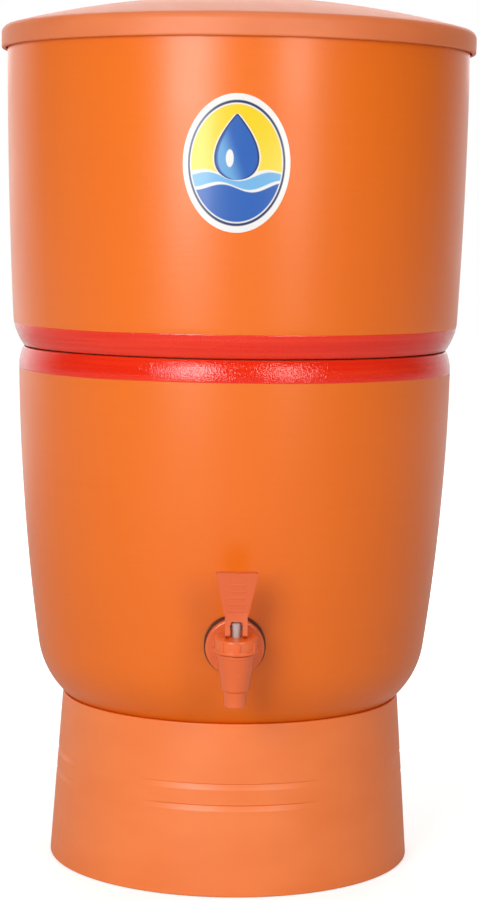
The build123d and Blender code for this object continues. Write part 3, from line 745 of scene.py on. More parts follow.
class Outline:
    """Half section of a turned piece, as a path that keeps the piece on its left hand."""

    CORNER_STEPS = 5
    # a bend below this, in radians, isn't rounded
    STRAIGHT = 0.02
    # the largest share of a stretch that one corner takes
    MOST_TRIM = 0.48

    def __init__(self, radius: float, height: float, wear: int = 0) -> None:
        """Start at a radius and a height, heading outwards.

        Args:
            radius: The start's radius.
            height: The start's height.
            wear: The finish index of what follows.
        """
        self.path = [Corner(Vector((radius, height)), 0.0, wear)]
        self.heading = Vector((1.0, 0.0))
        self.worn = wear

    def wear(self, index: int) -> "Outline":
        """Give what follows another finish."""
        self.worn = index
        return self

    def aim(self, heading: Vector) -> "Outline":
        """Turn on the spot."""
        self.heading = heading.normalized()
        return self

    def line(self, radius: float, height: float, soften: float = 0.0,
             pitch: float | None = None) -> "Outline":
        """Add a straight stretch.

        Args:
            radius: Its end's radius.
            height: Its end's height.
            soften: The radius that rounds the corner at its end.
            pitch: The longest step along it, where it needs points of its own.

        Returns:
            The outline.
        """
        start, end = self.path[-1].point, Vector((radius, height))
        steps = 1 if pitch is None else max(1, math.ceil((end - start).length / pitch))
        for step in range(1, steps):
            self.path.append(Corner(start.lerp(end, step / steps), 0.0, self.worn))
        self.path.append(Corner(end, soften, self.worn))
        self.heading = (end - start).normalized()
        return self

    def turn(self, bend: float, degrees: float, pitch: float = 2.5) -> "Outline":
        """Add an arc of a radius that turns left, or right where degrees is below 0.

        Args:
            bend: The arc's radius.
            degrees: How far it turns.
            pitch: The longest step along it.

        Returns:
            The outline.
        """
        left = Vector((-self.heading.y, self.heading.x))
        centre = self.path[-1].point + left * math.copysign(bend, degrees)
        return self._arc(centre, math.radians(degrees), 0.0, pitch)

    def sweep(self, radius: float, height: float, soften: float = 0.0, pitch: float = 3.0
              ) -> "Outline":
        """Add the arc that leaves along the heading and ends at a point.

        Args:
            radius: The end's radius.
            height: The end's height.
            soften: The radius that rounds the corner at its end.
            pitch: The longest step along it.

        Returns:
            The outline.
        """
        chord = Vector((radius, height)) - self.path[-1].point
        swing = math.atan2(self.heading.x * chord.y - self.heading.y * chord.x,
                           self.heading.dot(chord))
        if abs(swing) < TINY:
            return self.line(radius, height, soften, pitch)
        left = Vector((-self.heading.y, self.heading.x))
        centre = self.path[-1].point + left * (chord.length / (2 * math.sin(swing)))
        return self._arc(centre, 2 * swing, soften, pitch)

    def thread(self, root: float, crest: float, start: float, pitch: float, turns: int,
               shares: Sequence[float]) -> "Outline":
        """Add the ridges of a thread.

        Args:
            root: The radius between the ridges.
            crest: The ridges' radius.
            start: The height of the first ridge's foot.
            pitch: The height from one ridge to the next.
            turns: How many ridges there are.
            shares: Where a ridge's crest has its points, as shares of the pitch.

        Returns:
            The outline.
        """
        for step in range(turns):
            foot = start + step * pitch
            self.line(root, foot)
            for share in shares:
                self.line(crest, foot + share * pitch)
        return self

    def _arc(self, centre: Vector, angle: float, soften: float, pitch: float) -> "Outline":
        """Add points round a centre through an angle in radians.

        Args:
            centre: The arc's centre.
            angle: How far it turns, above 0 to the left.
            soften: The radius that rounds the corner at its end.
            pitch: The longest step along it.

        Returns:
            The outline.
        """
        spoke = self.path[-1].point - centre
        steps = max(3, math.ceil(abs(angle) * spoke.length / pitch))
        for step in range(1, steps + 1):
            turned_spoke = Matrix.Rotation(angle * step / steps, 2) @ spoke
            self.path.append(Corner(centre + turned_spoke, 0.0, self.worn))
        self.path[-1].soften = soften
        self.heading = Matrix.Rotation(angle, 2) @ self.heading
        return self

    def points(self) -> list[tuple[float, float, int]]:
        """Give the path as radius, height and finish, with its corners rounded.

        Returns:
            A radius, a height and a finish index for each point.
        """
        found = [(*self.path[0].point, self.path[0].wear)]
        for before, corner, after in zip(self.path, self.path[1:], self.path[2:]):
            found += self._rounded(before.point, corner, after.point)
        found.append((*self.path[-1].point, self.path[-1].wear))
        return found

    def _rounded(self, before: Vector, corner: Corner, after: Vector
                 ) -> list[tuple[float, float, int]]:
        """Give the points that stand for one corner.

        Args:
            before: The point before it.
            corner: The corner.
            after: The point after it.

        Returns:
            A radius, a height and a finish index for each point.
        """
        coming, going = corner.point - before, after - corner.point
        bend = coming.angle_signed(going, 0.0)
        if corner.soften == 0.0 or abs(bend) < self.STRAIGHT:
            return [(*corner.point, corner.wear)]
        slope = math.tan(abs(bend) / 2)
        shorter = min(coming.length, going.length)
        trim = min(corner.soften * slope, self.MOST_TRIM * shorter)
        start = corner.point - coming.normalized() * trim
        # angle_signed is positive for a turn to the right
        inward = Vector((-coming.y, coming.x)).normalized() * math.copysign(trim / slope, -bend)
        centre = start + inward
        arc = [centre + Matrix.Rotation(-bend * step / self.CORNER_STEPS, 2) @ (start - centre)
               for step in range(self.CORNER_STEPS + 1)]
        return [(*point, corner.wear) for point in arc]


@dataclass
class Shape:
    """A closed surface in millimetres: its points, its faces and each face's finish index."""

    points: list[Vector]
    faces: list[tuple[int, ...]]
    wear: list[int]

    def moved(self, place: Matrix) -> "Shape":
        """Give the shape in another place."""
        return Shape([place @ point for point in self.points], self.faces, self.wear)

    def piece(self, name: str) -> bpy.types.Object:
        """Make the shape an object in metres, at the origin.

        Args:
            name: The object's name.

        Returns:
            The object.
        """
        mesh = bpy.data.meshes.new(name)
        mesh.from_pydata([point * MM for point in self.points], [], self.faces)
        # the empty slots keep each face's finish through the booleans
        for _ in range(max(self.wear) + 1):
            mesh.materials.append(None)
        mesh.polygons.foreach_set("material_index", self.wear)
        mesh.update()
        made = bpy.data.objects.new(name, mesh)
        bpy.context.scene.collection.objects.link(made)
        return made


def joined(*shapes: Shape) -> Shape:
    """Give one shape that holds several side by side.

    Args:
        shapes: The shapes, in order.

    Returns:
        The one shape.
    """
    whole = Shape([], [], [])
    for shape in shapes:
        first = len(whole.points)
        whole.points += shape.points
        whole.faces += [tuple(first + corner for corner in face) for face in shape.faces]
        whole.wear += shape.wear
    return whole


def ringed(shape: Shape, count: int, first: float = 0.0) -> Shape:
    """Give copies of a shape at even steps about the Z axis.

    Args:
        shape: The shape.
        count: How many copies there are.
        first: The angle that turns the first copy, in radians.

    Returns:
        The copies as one shape.
    """
    return joined(*(shape.moved(Matrix.Rotation(first + 2 * math.pi * step / count, 4, "Z"))
                    for step in range(count)))


def turned(outline: Outline, segments: int, shift: Shift | None = None) -> Shape:
    """Turn an outline about the Z axis.

    Args:
        outline: The half section. It ends where it starts, or both ends lie on the axis.
        segments: How many steps go round.
        shift: What moves the wall outwards, from an angle in radians and a height.

    Returns:
        The turned shape.
    """
    path = outline.points()
    ring_shut = (Vector(path[0][:2]) - Vector(path[-1][:2])).length < TINY
    points: list[Vector] = []
    rings: list[list[int]] = []
    for radius, height, _ in path[:-1] if ring_shut else path:
        first = len(points)
        if radius < TINY:
            points.append(Vector((0, 0, height)))
            rings.append([first] * (segments + 1))
            continue
        for step in range(segments):
            angle = 2 * math.pi * step / segments
            reach = radius + (shift(angle, height) if shift else 0.0)
            points.append(Vector((reach * math.cos(angle), reach * math.sin(angle), height)))
        rings.append([*range(first, first + segments), first])
    if ring_shut:
        rings.append(rings[0])
    faces: list[tuple[int, ...]] = []
    wear: list[int] = []
    for (low, high), (_, _, index) in zip(zip(rings, rings[1:]), path[1:]):
        for step in range(segments):
            around = (low[step], low[step + 1], high[step + 1], high[step])
            faces.append(tuple(dict.fromkeys(around)))
            wear.append(index)
    return Shape(points, faces, wear)


def rod(radius: float, low: float, high: float, segments: int) -> Shape:
    """Make a plain cylinder about the Z axis."""
    section = Outline(0, low).line(radius, low).line(radius, high).line(0, high)
    return turned(section, segments)


def slab(outline: Sequence[tuple[float, float]], back: float, front: float, wear: int = 0
         ) -> Shape:
    """Make a flat plate.

    Args:
        outline: Its (x, z) corners, anticlockwise as seen from -Y.
        back: The Y of its back face.
        front: The Y of its front face, below back.
        wear: Its finish index.

    Returns:
        The plate.
    """
    count = len(outline)
    points = [Vector((x, y, z)) for y in (front, back) for x, z in outline]
    faces = [tuple(range(count)), tuple(reversed(range(count, 2 * count)))]
    for step in range(count):
        following = (step + 1) % count
        faces.append((following, step, count + step, count + following))
    return Shape(points, faces, [wear] * len(faces))


def settled_mesh(piece: bpy.types.Object) -> bpy.types.Object:
    """Turn a piece's modifiers into mesh.

    Args:
        piece: The piece.

    Returns:
        The same piece.
    """
    graph = bpy.context.evaluated_depsgraph_get()
    mesh = bpy.data.meshes.new_from_object(piece.evaluated_get(graph))
    piece.modifiers.clear()
    old, piece.data = piece.data, mesh
    bpy.data.meshes.remove(old)
    mesh.name = piece.name
    return piece


class Joinery(Enum):
    """What a tool does to a piece."""

    FUSE = "UNION"
    CUT = "DIFFERENCE"


def worked(piece: bpy.types.Object, how: Joinery, *tools: Shape) -> bpy.types.Object:
    """Fuse shapes to a piece, or cut them from it.

    Args:
        piece: The piece.
        how: Whether to fuse or to cut.
        tools: The shapes, one after another.

    Returns:
        The piece.
    """
    for tool in tools:
        other = tool.piece("tool")
        step = piece.modifiers.new(how.name, "BOOLEAN")
        step.operation = how.value
        step.solver = "EXACT"
        step.object = other
        settled_mesh(piece)
        old = other.data
        bpy.data.objects.remove(other)
        bpy.data.meshes.remove(old)
    return piece


def softened(piece: bpy.types.Object, width: float, segments: int = 2, angle: float = 32.0
             ) -> bpy.types.Object:
    """Round a piece's sharp edges by a width in millimetres.

    Args:
        piece: The piece.
        width: The bevel's width.
        segments: How many strips a bevel has.
        angle: The angle from which an edge is rounded.

    Returns:
        The same piece.
    """
    step = piece.modifiers.new("soften", "BEVEL")
    step.width = width * MM
    step.segments = segments
    step.limit_method = "ANGLE"
    step.angle_limit = math.radians(angle)
    step.use_clamp_overlap = True
    return settled_mesh(piece)


def finished(piece: bpy.types.Object, body: str, slot: str, wears: Sequence[Wear | Finish],
             *nodes: str, sharp: float = 40.0) -> bpy.types.Object:
    """Give a piece its finishes, its shading and its place in the frame.

    Args:
        piece: The piece, in place.
        body: The body that carries it.
        slot: The record's material slot; it is not used.
        wears: What each finish index stands for.
        nodes: The solids that it stands for.
        sharp: The angle from which an edge stays sharp.

    Returns:
        The piece.
    """
    for index, wear in enumerate(wears):
        piece.data.materials[index] = wear.material()
    piece.data.shade_smooth()
    piece.data.set_sharp_from_angle(angle=math.radians(sharp))
    flats = piece.modifiers.new("keep_flats", "WEIGHTED_NORMAL")
    flats.keep_sharp = True
    settled_mesh(piece)
    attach(piece, body)
    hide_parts(*nodes)
    LOG.info("%s: %d faces, on %s", piece.name, len(piece.data.polygons), body)
    return piece


def carried(node: str, wear: Wear) -> bpy.types.Object:
    """Keep a solid as it is and give it a finish.

    Args:
        node: The solid's node.
        wear: Its finish.

    Returns:
        The solid.
    """
    solid = frame["nodes"][node]
    for place in solid.material_slots:
        place.material = wear.material()
    LOG.info("%s: kept, %s", node, wear.name)
    return solid


# ---------------------------------------------------------------- stand and chambers


@dataclass
class Stand:
    """Moulded conical stand with a shelf for the bowl, gussets and finger grooves."""

    top_radius: float = 97.7
    wall: float = 3.0
    foot_ring: float = 7.0
    foot_ring_height: float = 3.0
    foot_soften: float = 0.8
    bowl_edge: float = 96.2
    bowl_edge_depth: float = 1.3
    seat_height: float = 83.5
    seat_rise: float = 2.0
    seat_inner: float = 45.0
    seat_outer: float = 62.0
    shelf: float = 3.0
    gussets: int = 8
    gusset_thickness: float = 2.5
    gusset_drop: float = 15.0
    groove_heights: tuple[float, float] = (60.5, 48.8)
    groove_width: float = 3.4
    groove_depth: float = 0.70
    groove_half_angle: float = 31.0
    groove_step: float = 0.12
    groove_curve: float = 0.8
    groove_fade: float = 1.6
    top_soften: float = 0.6
    edge_soften: float = 0.2
    shelf_soften: float = 0.6
    seat_soften: float = 0.4
    hole_soften: float = 0.5
    ring_soften: float = 0.4
    groove_pitch: float = 0.35
    wall_pitch: float = 6.0
    segments: int = 288

    def __post_init__(self) -> None:
        """Take the height and the foot from the frame."""
        _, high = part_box("base_stand")
        self.height = high.z / MM
        self.foot_radius = high.x / MM
        self.slope = (self.foot_radius - self.top_radius) / self.height

    def inner_radius(self, height: float) -> float:
        """Give the radius of the wall's inner face."""
        return self.foot_radius - self.wall - self.slope * height

    def groove(self, angle: float, height: float) -> float:
        """Give how far the grooves let the wall in, at an angle and a height.

        Args:
            angle: The angle about the axis, in radians.
            height: The height.

        Returns:
            The shift, which is below 0 in a groove.
        """
        off = (angle + math.pi / 4) % (math.pi / 2) - math.pi / 4
        fade = 1 - (1 - math.cos(off)) / (1 - math.cos(math.radians(self.groove_half_angle)))
        if fade <= 0:
            return 0.0
        depth = 0.0
        for middle in self.groove_heights:
            below_top = middle + self.groove_width / 2 - height
            share = below_top / self.groove_width
            if 0 < share < 1:
                steep = min(1.0, share / self.groove_step)
                past = max(0.0, share - self.groove_step) / (1 - self.groove_step)
                depth = self.groove_depth * steep * (1 - past) ** self.groove_curve
        return -depth * min(1.0, self.groove_fade * fade)

    def outline(self) -> Outline:
        """Give the stand's half section, from the foot's inner edge round and back to it.

        Returns:
            The half section.
        """
        foot_inner = self.foot_radius - self.foot_ring
        shelf_top = self.seat_height - self.seat_rise
        shelf_bottom = shelf_top - self.shelf
        low = min(self.groove_heights) - self.groove_width
        high = max(self.groove_heights) + self.groove_width
        section = Outline(foot_inner, 0).line(self.foot_radius, 0, self.foot_soften)
        section.line(self.foot_radius - self.slope * low, low, pitch=self.wall_pitch)
        section.line(self.foot_radius - self.slope * high, high, pitch=self.groove_pitch)
        section.line(self.top_radius, self.height, self.top_soften, self.wall_pitch)
        section.line(self.bowl_edge, self.height, self.edge_soften)
        under_edge = self.height - self.bowl_edge_depth
        section.line(self.inner_radius(under_edge), under_edge)
        section.line(self.inner_radius(shelf_top), shelf_top, self.shelf_soften)
        section.line(self.seat_outer, shelf_top, self.seat_soften)
        section.line(self.seat_outer, self.seat_height, self.seat_soften)
        section.line(self.seat_inner, self.seat_height, self.hole_soften)
        section.line(self.seat_inner, shelf_bottom, self.hole_soften)
        section.line(self.inner_radius(shelf_bottom), shelf_bottom, self.shelf_soften)
        section.line(self.inner_radius(self.foot_ring_height), self.foot_ring_height)
        section.line(foot_inner, self.foot_ring_height, self.ring_soften)
        return section.line(foot_inner, 0)

    def gusset_plates(self) -> Shape:
        """Give the ribs between the shelf and the wall.

        Returns:
            The ribs as one shape.
        """
        top = self.seat_height - self.seat_rise - self.shelf / 2
        under = top - self.shelf / 2
        wall = self.inner_radius(under) + self.wall / 2
        web = [(self.seat_inner + 1, top), (self.seat_inner + 1, under - self.wall),
               (wall - self.wall, under - self.gusset_drop), (wall, under - self.gusset_drop),
               (wall, top)]
        half = self.gusset_thickness / 2
        return ringed(slab(web, half, -half), self.gussets, math.pi / self.gussets)

    def build(self) -> list[bpy.types.Object]:
        """Build the stand.

        Returns:
            The stand.
        """
        body = turned(self.outline(), self.segments, self.groove)
        stand = worked(body.piece("moulded_stand"), Joinery.FUSE, self.gusset_plates())
        return [finished(stand, "stand", "stand_plastic", [Wear.STAND], "base_stand")]


# each wave of an uneven wall: its share, its number round, and its shift by phase and height
WALL_WAVES = ((0.5, 2, 1.0, 0.011), (0.3, 3, -2.1, -0.017), (0.2, 5, 0.7, 0.031))


def hand_thrown(amount: float, phase: float) -> Shift:
    """Give the slight unevenness of a wall thrown on a wheel.

    Args:
        amount: The largest shift, in millimetres.
        phase: What makes one wall differ from another.

    Returns:
        A shift for a turned shape.
    """
    def shift(angle: float, height: float) -> float:
        """Add slow waves that twist with height."""
        return amount * sum(share * math.sin(count * angle + start * phase + twist * height)
                            for share, count, start, twist in WALL_WAVES)
    return shift


@dataclass
class ClayBowl:
    """Lower chamber: thrown clay, painted outside, with the tap's hole."""

    flat_radius: float = 64.5
    corner_radius: float = 48.0
    low_lean: float = 8.0
    wall: float = 10.0
    rim_radius: float = 122.0
    rim_round: float = 11.0
    rim_soften: float = 1.0
    unevenness: float = 0.14
    phase: float = 0.6
    hole_clearance: float = 0.8
    segments: int = 256
    hole_segments: int = 64

    def outline(self) -> Outline:
        """Give the bowl's half section, from the axis below it to the axis inside it.

        Returns:
            The half section.
        """
        low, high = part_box("lower_chamber")
        seat, rim, widest = low.z / MM, high.z / MM, high.x / MM
        turn = 90 - self.low_lean
        section = Outline(0, seat, Side.RAW).line(self.flat_radius, seat).wear(Side.PAINTED)
        section.turn(self.corner_radius, turn).sweep(widest, rim - self.rim_round)
        section.sweep(self.rim_radius, rim, self.rim_soften, 1.5).wear(Side.RAW)
        # the inner wall leaves its knee along a heading, so it is drawn upwards and reversed
        inside = Outline(self.flat_radius, seat + self.wall)
        inside.turn(self.corner_radius - self.wall, turn).sweep(self.rim_radius - self.wall, rim)
        section.line(self.rim_radius - self.wall, rim, self.rim_soften)
        for corner in reversed(inside.path[:-1]):
            section.line(*corner.point)
        return section.line(0, seat + self.wall)

    def build(self, tap: "TapPlace") -> list[bpy.types.Object]:
        """Build the bowl and drill it for the tap.

        Args:
            tap: Where the tap sits.

        Returns:
            The bowl.
        """
        body = turned(self.outline(), self.segments, hand_thrown(self.unevenness, self.phase))
        bore = tap.shank_radius + self.hole_clearance
        hole = Outline(0, tap.shank_end, Side.RAW)
        hole.line(tap.rear_spot, tap.shank_end).line(tap.rear_spot, tap.rear_face)
        hole.line(bore, tap.rear_face).line(bore, tap.front_face)
        hole.line(tap.front_spot, tap.front_face).line(tap.front_spot, tap.valve_reach)
        hole.line(0, tap.valve_reach)
        drill = turned(hole, self.hole_segments).moved(tap.shank)
        bowl = worked(body.piece("clay_bowl"), Joinery.CUT, drill)
        return [finished(bowl, "bowl", "painted_clay", [Wear.PAINT, Wear.CLAY],
                         "lower_chamber")]


@dataclass
class ClayTop:
    """Upper chamber: thrown clay with a spigot below, a flat floor and the candle's hole."""

    seam_radius: float = 121.8
    foot_radius: float = 127.7
    foot_round: float = 17.5
    wall: float = 10.0
    floor: float = 12.0
    inner_corner: float = 11.0
    spigot_radius: float = 109.9
    spigot_drop: float = 5.5
    spigot_chamfer: float = 1.5
    hole_radius: float = 5.6
    seam_soften: float = 1.0
    seam_relief: float = 0.7
    seam_relief_width: float = 6.0
    rim_soften: float = 2.0
    spigot_soften: float = 0.8
    relief_soften: float = 0.3
    hole_soften: float = 0.6
    unevenness: float = 0.12
    phase: float = 2.2
    segments: int = 256

    def __post_init__(self) -> None:
        """Take the heights and the rim from the frame."""
        low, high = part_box("upper_chamber")
        self.spigot_bottom, self.rim, self.rim_radius = low.z / MM, high.z / MM, high.x / MM
        self.seam = self.spigot_bottom + self.spigot_drop
        self.foot_top = self.seam + self.foot_round
        self.shift = hand_thrown(self.unevenness, self.phase)

    def wall_radius(self, angle: float, height: float) -> float:
        """Give the outer radius above the foot, at an angle in radians and a height.

        Args:
            angle: The angle about the axis, in radians.
            height: The height.

        Returns:
            The radius.
        """
        inset, fall = self.rim_radius - self.foot_radius, self.rim - self.foot_top
        bend = (inset ** 2 + fall ** 2) / (2 * inset)
        straight = self.rim_radius - bend + math.sqrt(bend ** 2 - (self.rim - height) ** 2)
        return straight + self.shift(angle, height)

    def outline(self) -> Outline:
        """Give the chamber's half section, from the candle's hole round and back to it.

        Returns:
            The half section.
        """
        foot, rim = Vector((self.foot_radius, self.foot_top)), Vector((self.rim_radius, self.rim))
        seam = Vector((self.seam_radius, self.seam + self.seam_relief))
        rest = self.seam_radius - self.seam_relief_width
        upright = Vector((0.0, 1.0))
        at_foot = leaving(foot, rim, upright)
        spigot_side = self.spigot_bottom + self.spigot_chamfer
        section = Outline(self.hole_radius, self.spigot_bottom, Side.RAW)
        section.line(self.spigot_radius - self.spigot_chamfer, self.spigot_bottom)
        section.line(self.spigot_radius, spigot_side)
        section.line(self.spigot_radius, self.seam, self.spigot_soften)
        section.line(rest, self.seam, self.relief_soften)
        section.line(rest + self.seam_relief, seam.y, self.relief_soften)
        section.wear(Side.PAINTED).line(*seam, self.seam_soften)
        section.aim(leaving(seam, foot, at_foot)).sweep(*foot, pitch=1.5)
        section.sweep(*rim, self.rim_soften, 4.0).wear(Side.RAW)
        section.line(self.rim_radius - self.wall, self.rim, self.rim_soften)
        floor_top = self.spigot_bottom + self.floor
        inside = self.foot_radius - self.wall
        section.aim(-upright).sweep(inside, floor_top + self.inner_corner, pitch=4.0)
        section.sweep(inside - self.inner_corner, floor_top)
        section.line(self.hole_radius, floor_top, self.hole_soften)
        return section.line(self.hole_radius, self.spigot_bottom)

    def build(self) -> list[bpy.types.Object]:
        """Build the chamber.

        Returns:
            The chamber.
        """
        chamber = turned(self.outline(), self.segments, self.shift).piece("clay_top")
        return [finished(chamber, "upper", "painted_clay", [Wear.PAINT, Wear.CLAY],
                         "upper_chamber")]


@dataclass
class FrontSticker:
    """Printed oval film on the upper chamber's wall."""

    wall: ClayTop
    thickness: float = 0.22
    sunk: float = 0.05
    rings: int = 16
    segments: int = 128

    def __post_init__(self) -> None:
        """Take the oval from the frame."""
        low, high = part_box("front_label")
        self.middle_x, self.middle_z = (low.x + high.x) / 2 / MM, (low.z + high.z) / 2 / MM
        self.half_width, self.half_height = (high.x - low.x) / 2 / MM, (high.z - low.z) / 2 / MM

    def layer(self, offset: float) -> list[Vector]:
        """Give one face's points, from the middle out, at an offset from the wall.

        Args:
            offset: How far the face stands off the wall.

        Returns:
            The points, ring by ring.
        """
        points = []
        for ring in range(self.rings + 1):
            share = ring / self.rings
            for step in range(self.segments if ring else 1):
                turn = 2 * math.pi * step / self.segments
                x = self.middle_x + share * self.half_width * math.cos(turn)
                z = self.middle_z + share * self.half_height * math.sin(turn)
                reach = self.wall.wall_radius(-math.pi / 2 + x / self.wall.rim_radius, z) + offset
                points.append(Vector((x, -math.sqrt(reach ** 2 - x ** 2), z)))
        return points

    def build(self) -> list[bpy.types.Object]:
        """Build the film as a thin closed sheet.

        Returns:
            The film.
        """
        points = self.layer(self.thickness) + self.layer(-self.sunk)
        half = len(points) // 2
        faces: list[tuple[int, ...]] = []
        for ring in range(self.rings):
            outer = 1 + ring * self.segments
            inner = outer - self.segments
            for step in range(self.segments):
                following = (step + 1) % self.segments
                if ring == 0:
                    face = (0, outer + step, outer + following)
                else:
                    face = (inner + step, outer + step, outer + following, inner + following)
                faces += [face, tuple(half + corner for corner in reversed(face))]
        rim = 1 + (self.rings - 1) * self.segments
        for step in range(self.segments):
            here, following = rim + step, rim + (step + 1) % self.segments
            faces.append((following, here, half + here, half + following))
        film = Shape(points, faces, [0] * len(faces)).piece("printed_sticker")
        print_layer = Sticker("sticker_print", self.middle_x, self.middle_z, self.half_width,
                              self.half_height)
        return [finished(film, "upper", "sticker_film", [print_layer], "front_label")]


@dataclass
class Lid:
    """Moulded domed lid with a skirt, a locating ring and ribs that sit on the rim."""

    wall: float = 2.5
    dome_rise: float = 18.0
    edge_soften: float = 4.5
    lip_soften: float = 1.1
    inner_lip_soften: float = 0.6
    skirt_root_soften: float = 1.5
    ring_outer: float = 119.5
    ring_inner: float = 117.5
    ring_hang: float = 3.7
    ring_soften: float = 0.4
    ring_root_soften: float = 0.5
    ribs: int = 16
    rib_thickness: float = 2.0
    rib_bite: float = 0.8
    unevenness: float = 0.05
    phase: float = 4.0
    sharp: float = 50.0
    segments: int = 288

    def __post_init__(self) -> None:
        """Take the lid's box and the rim's height from the frame."""
        low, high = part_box("lid")
        _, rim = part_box("upper_chamber")
        self.apex, self.radius, self.rim = high.z / MM, high.x / MM, rim.z / MM
        # the locating ring hangs lower than the skirt
        self.ring_bottom = low.z / MM
        self.lip = self.ring_bottom + self.ring_hang

    def under(self, radius: float) -> float:
        """Give the height of the dome's underside.

        Args:
            radius: The distance from the axis.

        Returns:
            The height.
        """
        reach, top = self.radius - self.wall, self.apex - self.wall
        bend = (reach ** 2 + self.dome_rise ** 2) / (2 * self.dome_rise)
        return top - bend + math.sqrt(bend ** 2 - radius ** 2)

    def outline(self) -> Outline:
        """Give the lid's half section, from the axis under the dome to the axis above it.

        Returns:
            The half section.
        """
        inside = self.radius - self.wall
        edge = self.apex - self.dome_rise
        section = Outline(0, self.apex - self.wall)
        section.sweep(self.ring_inner, self.under(self.ring_inner), pitch=5)
        section.line(self.ring_inner, self.ring_bottom, self.ring_soften)
        section.line(self.ring_outer, self.ring_bottom, self.ring_soften)
        section.line(self.ring_outer, self.under(self.ring_outer), self.ring_root_soften)
        section.line(inside, self.under(inside), self.skirt_root_soften)
        section.line(inside, self.lip, self.inner_lip_soften)
        section.line(self.radius, self.lip, self.lip_soften)
        section.line(self.radius, edge, pitch=3)
        dome = Outline(0, self.apex).sweep(self.radius, edge, pitch=4)
        section.path[-1].soften = 0.0
        return self._round_shoulder(section, dome)

    def _round_shoulder(self, section: Outline, dome: Outline) -> Outline:
        """Round the skirt into the dome and follow the dome to the axis.

        Args:
            section: The outline up to the sharp shoulder.
            dome: The dome, from the axis to the same shoulder.

        Returns:
            The whole outline.
        """
        shoulder = section.path[-1].point
        fall = (dome.path[-2].point - shoulder).normalized()
        turn = Vector((0.0, 1.0)).angle(fall)
        trim = self.edge_soften * math.tan(turn / 2)
        start = shoulder - Vector((0.0, trim))
        section.path = [corner for corner in section.path[:-1]
                        if corner.point.x < shoulder.x - 1e-3 or corner.point.y < start.y - 0.5]
        section.line(*start).turn(self.edge_soften, math.degrees(turn), 0.8)
        arrived = section.path[-1].point.x
        for corner in reversed(dome.path[:-1]):
            if corner.point.x < arrived - 0.5:
                section.line(*corner.point)
        return section

    def rib_blocks(self) -> Shape:
        """Give the ribs between the locating ring and the skirt.

        Returns:
            The ribs as one shape.
        """
        inner, outer = self.ring_outer - 1, self.radius - self.wall / 2
        top = self.under(outer - self.wall) + self.rib_bite
        web = [(inner, self.rim), (outer, self.rim), (outer, top), (inner, top)]
        half = self.rib_thickness / 2
        return ringed(slab(web, half, -half), self.ribs)

    def build(self) -> list[bpy.types.Object]:
        """Build the lid.

        Returns:
            The lid.
        """
        uneven = hand_thrown(self.unevenness, self.phase)
        shell = turned(self.outline(), self.segments, uneven).piece("domed_lid")
        lid = worked(shell, Joinery.FUSE, self.rib_blocks())
        return [finished(lid, "cover", "lid_plastic", [Wear.LID], "lid", sharp=self.sharp)]


# ---------------------------------------------------------------- tap


@dataclass
class TapPlace:
    """Where the tap sits: its valve axis and its shank axis, from the frame's joints."""

    pin_level: float = 18.2
    valve_reach: float = 22.0
    flange_thickness: float = 3.0
    gasket_thickness: float = 3.5
    gasket_radius: float = 16.6
    rear_gasket_radius: float = 14.5
    spot_margin: float = 0.6
    shank_radius: float = 8.0
    shank_end: float = -28.4
    rear_face: float = -14.9

    def __post_init__(self) -> None:
        """Work the two frames out from the lever's pin and the stem's axis."""
        up = Vector(joint("stem_lift")["axis"]).normalized()
        pin = Vector(joint("lever_tilt")["pos_m"]) / MM
        back = up.cross(Vector((1.0, 0.0, 0.0)))
        turn = Matrix((Vector((1.0, 0.0, 0.0)), back, up)).transposed().to_4x4()
        self.up = up
        self.valve = Matrix.Translation(pin - up * self.pin_level) @ turn
        self.flange = self.valve @ Matrix.Translation((0, self.valve_reach, 0))
        self.shank = self.flange @ Matrix.Rotation(math.pi / 2, 4, "X")
        self.lever = Matrix.Translation(pin) @ turn
        self.front_face = -self.flange_thickness - self.gasket_thickness
        self.front_spot = self.gasket_radius + self.spot_margin
        self.rear_spot = self.rear_gasket_radius + self.spot_margin


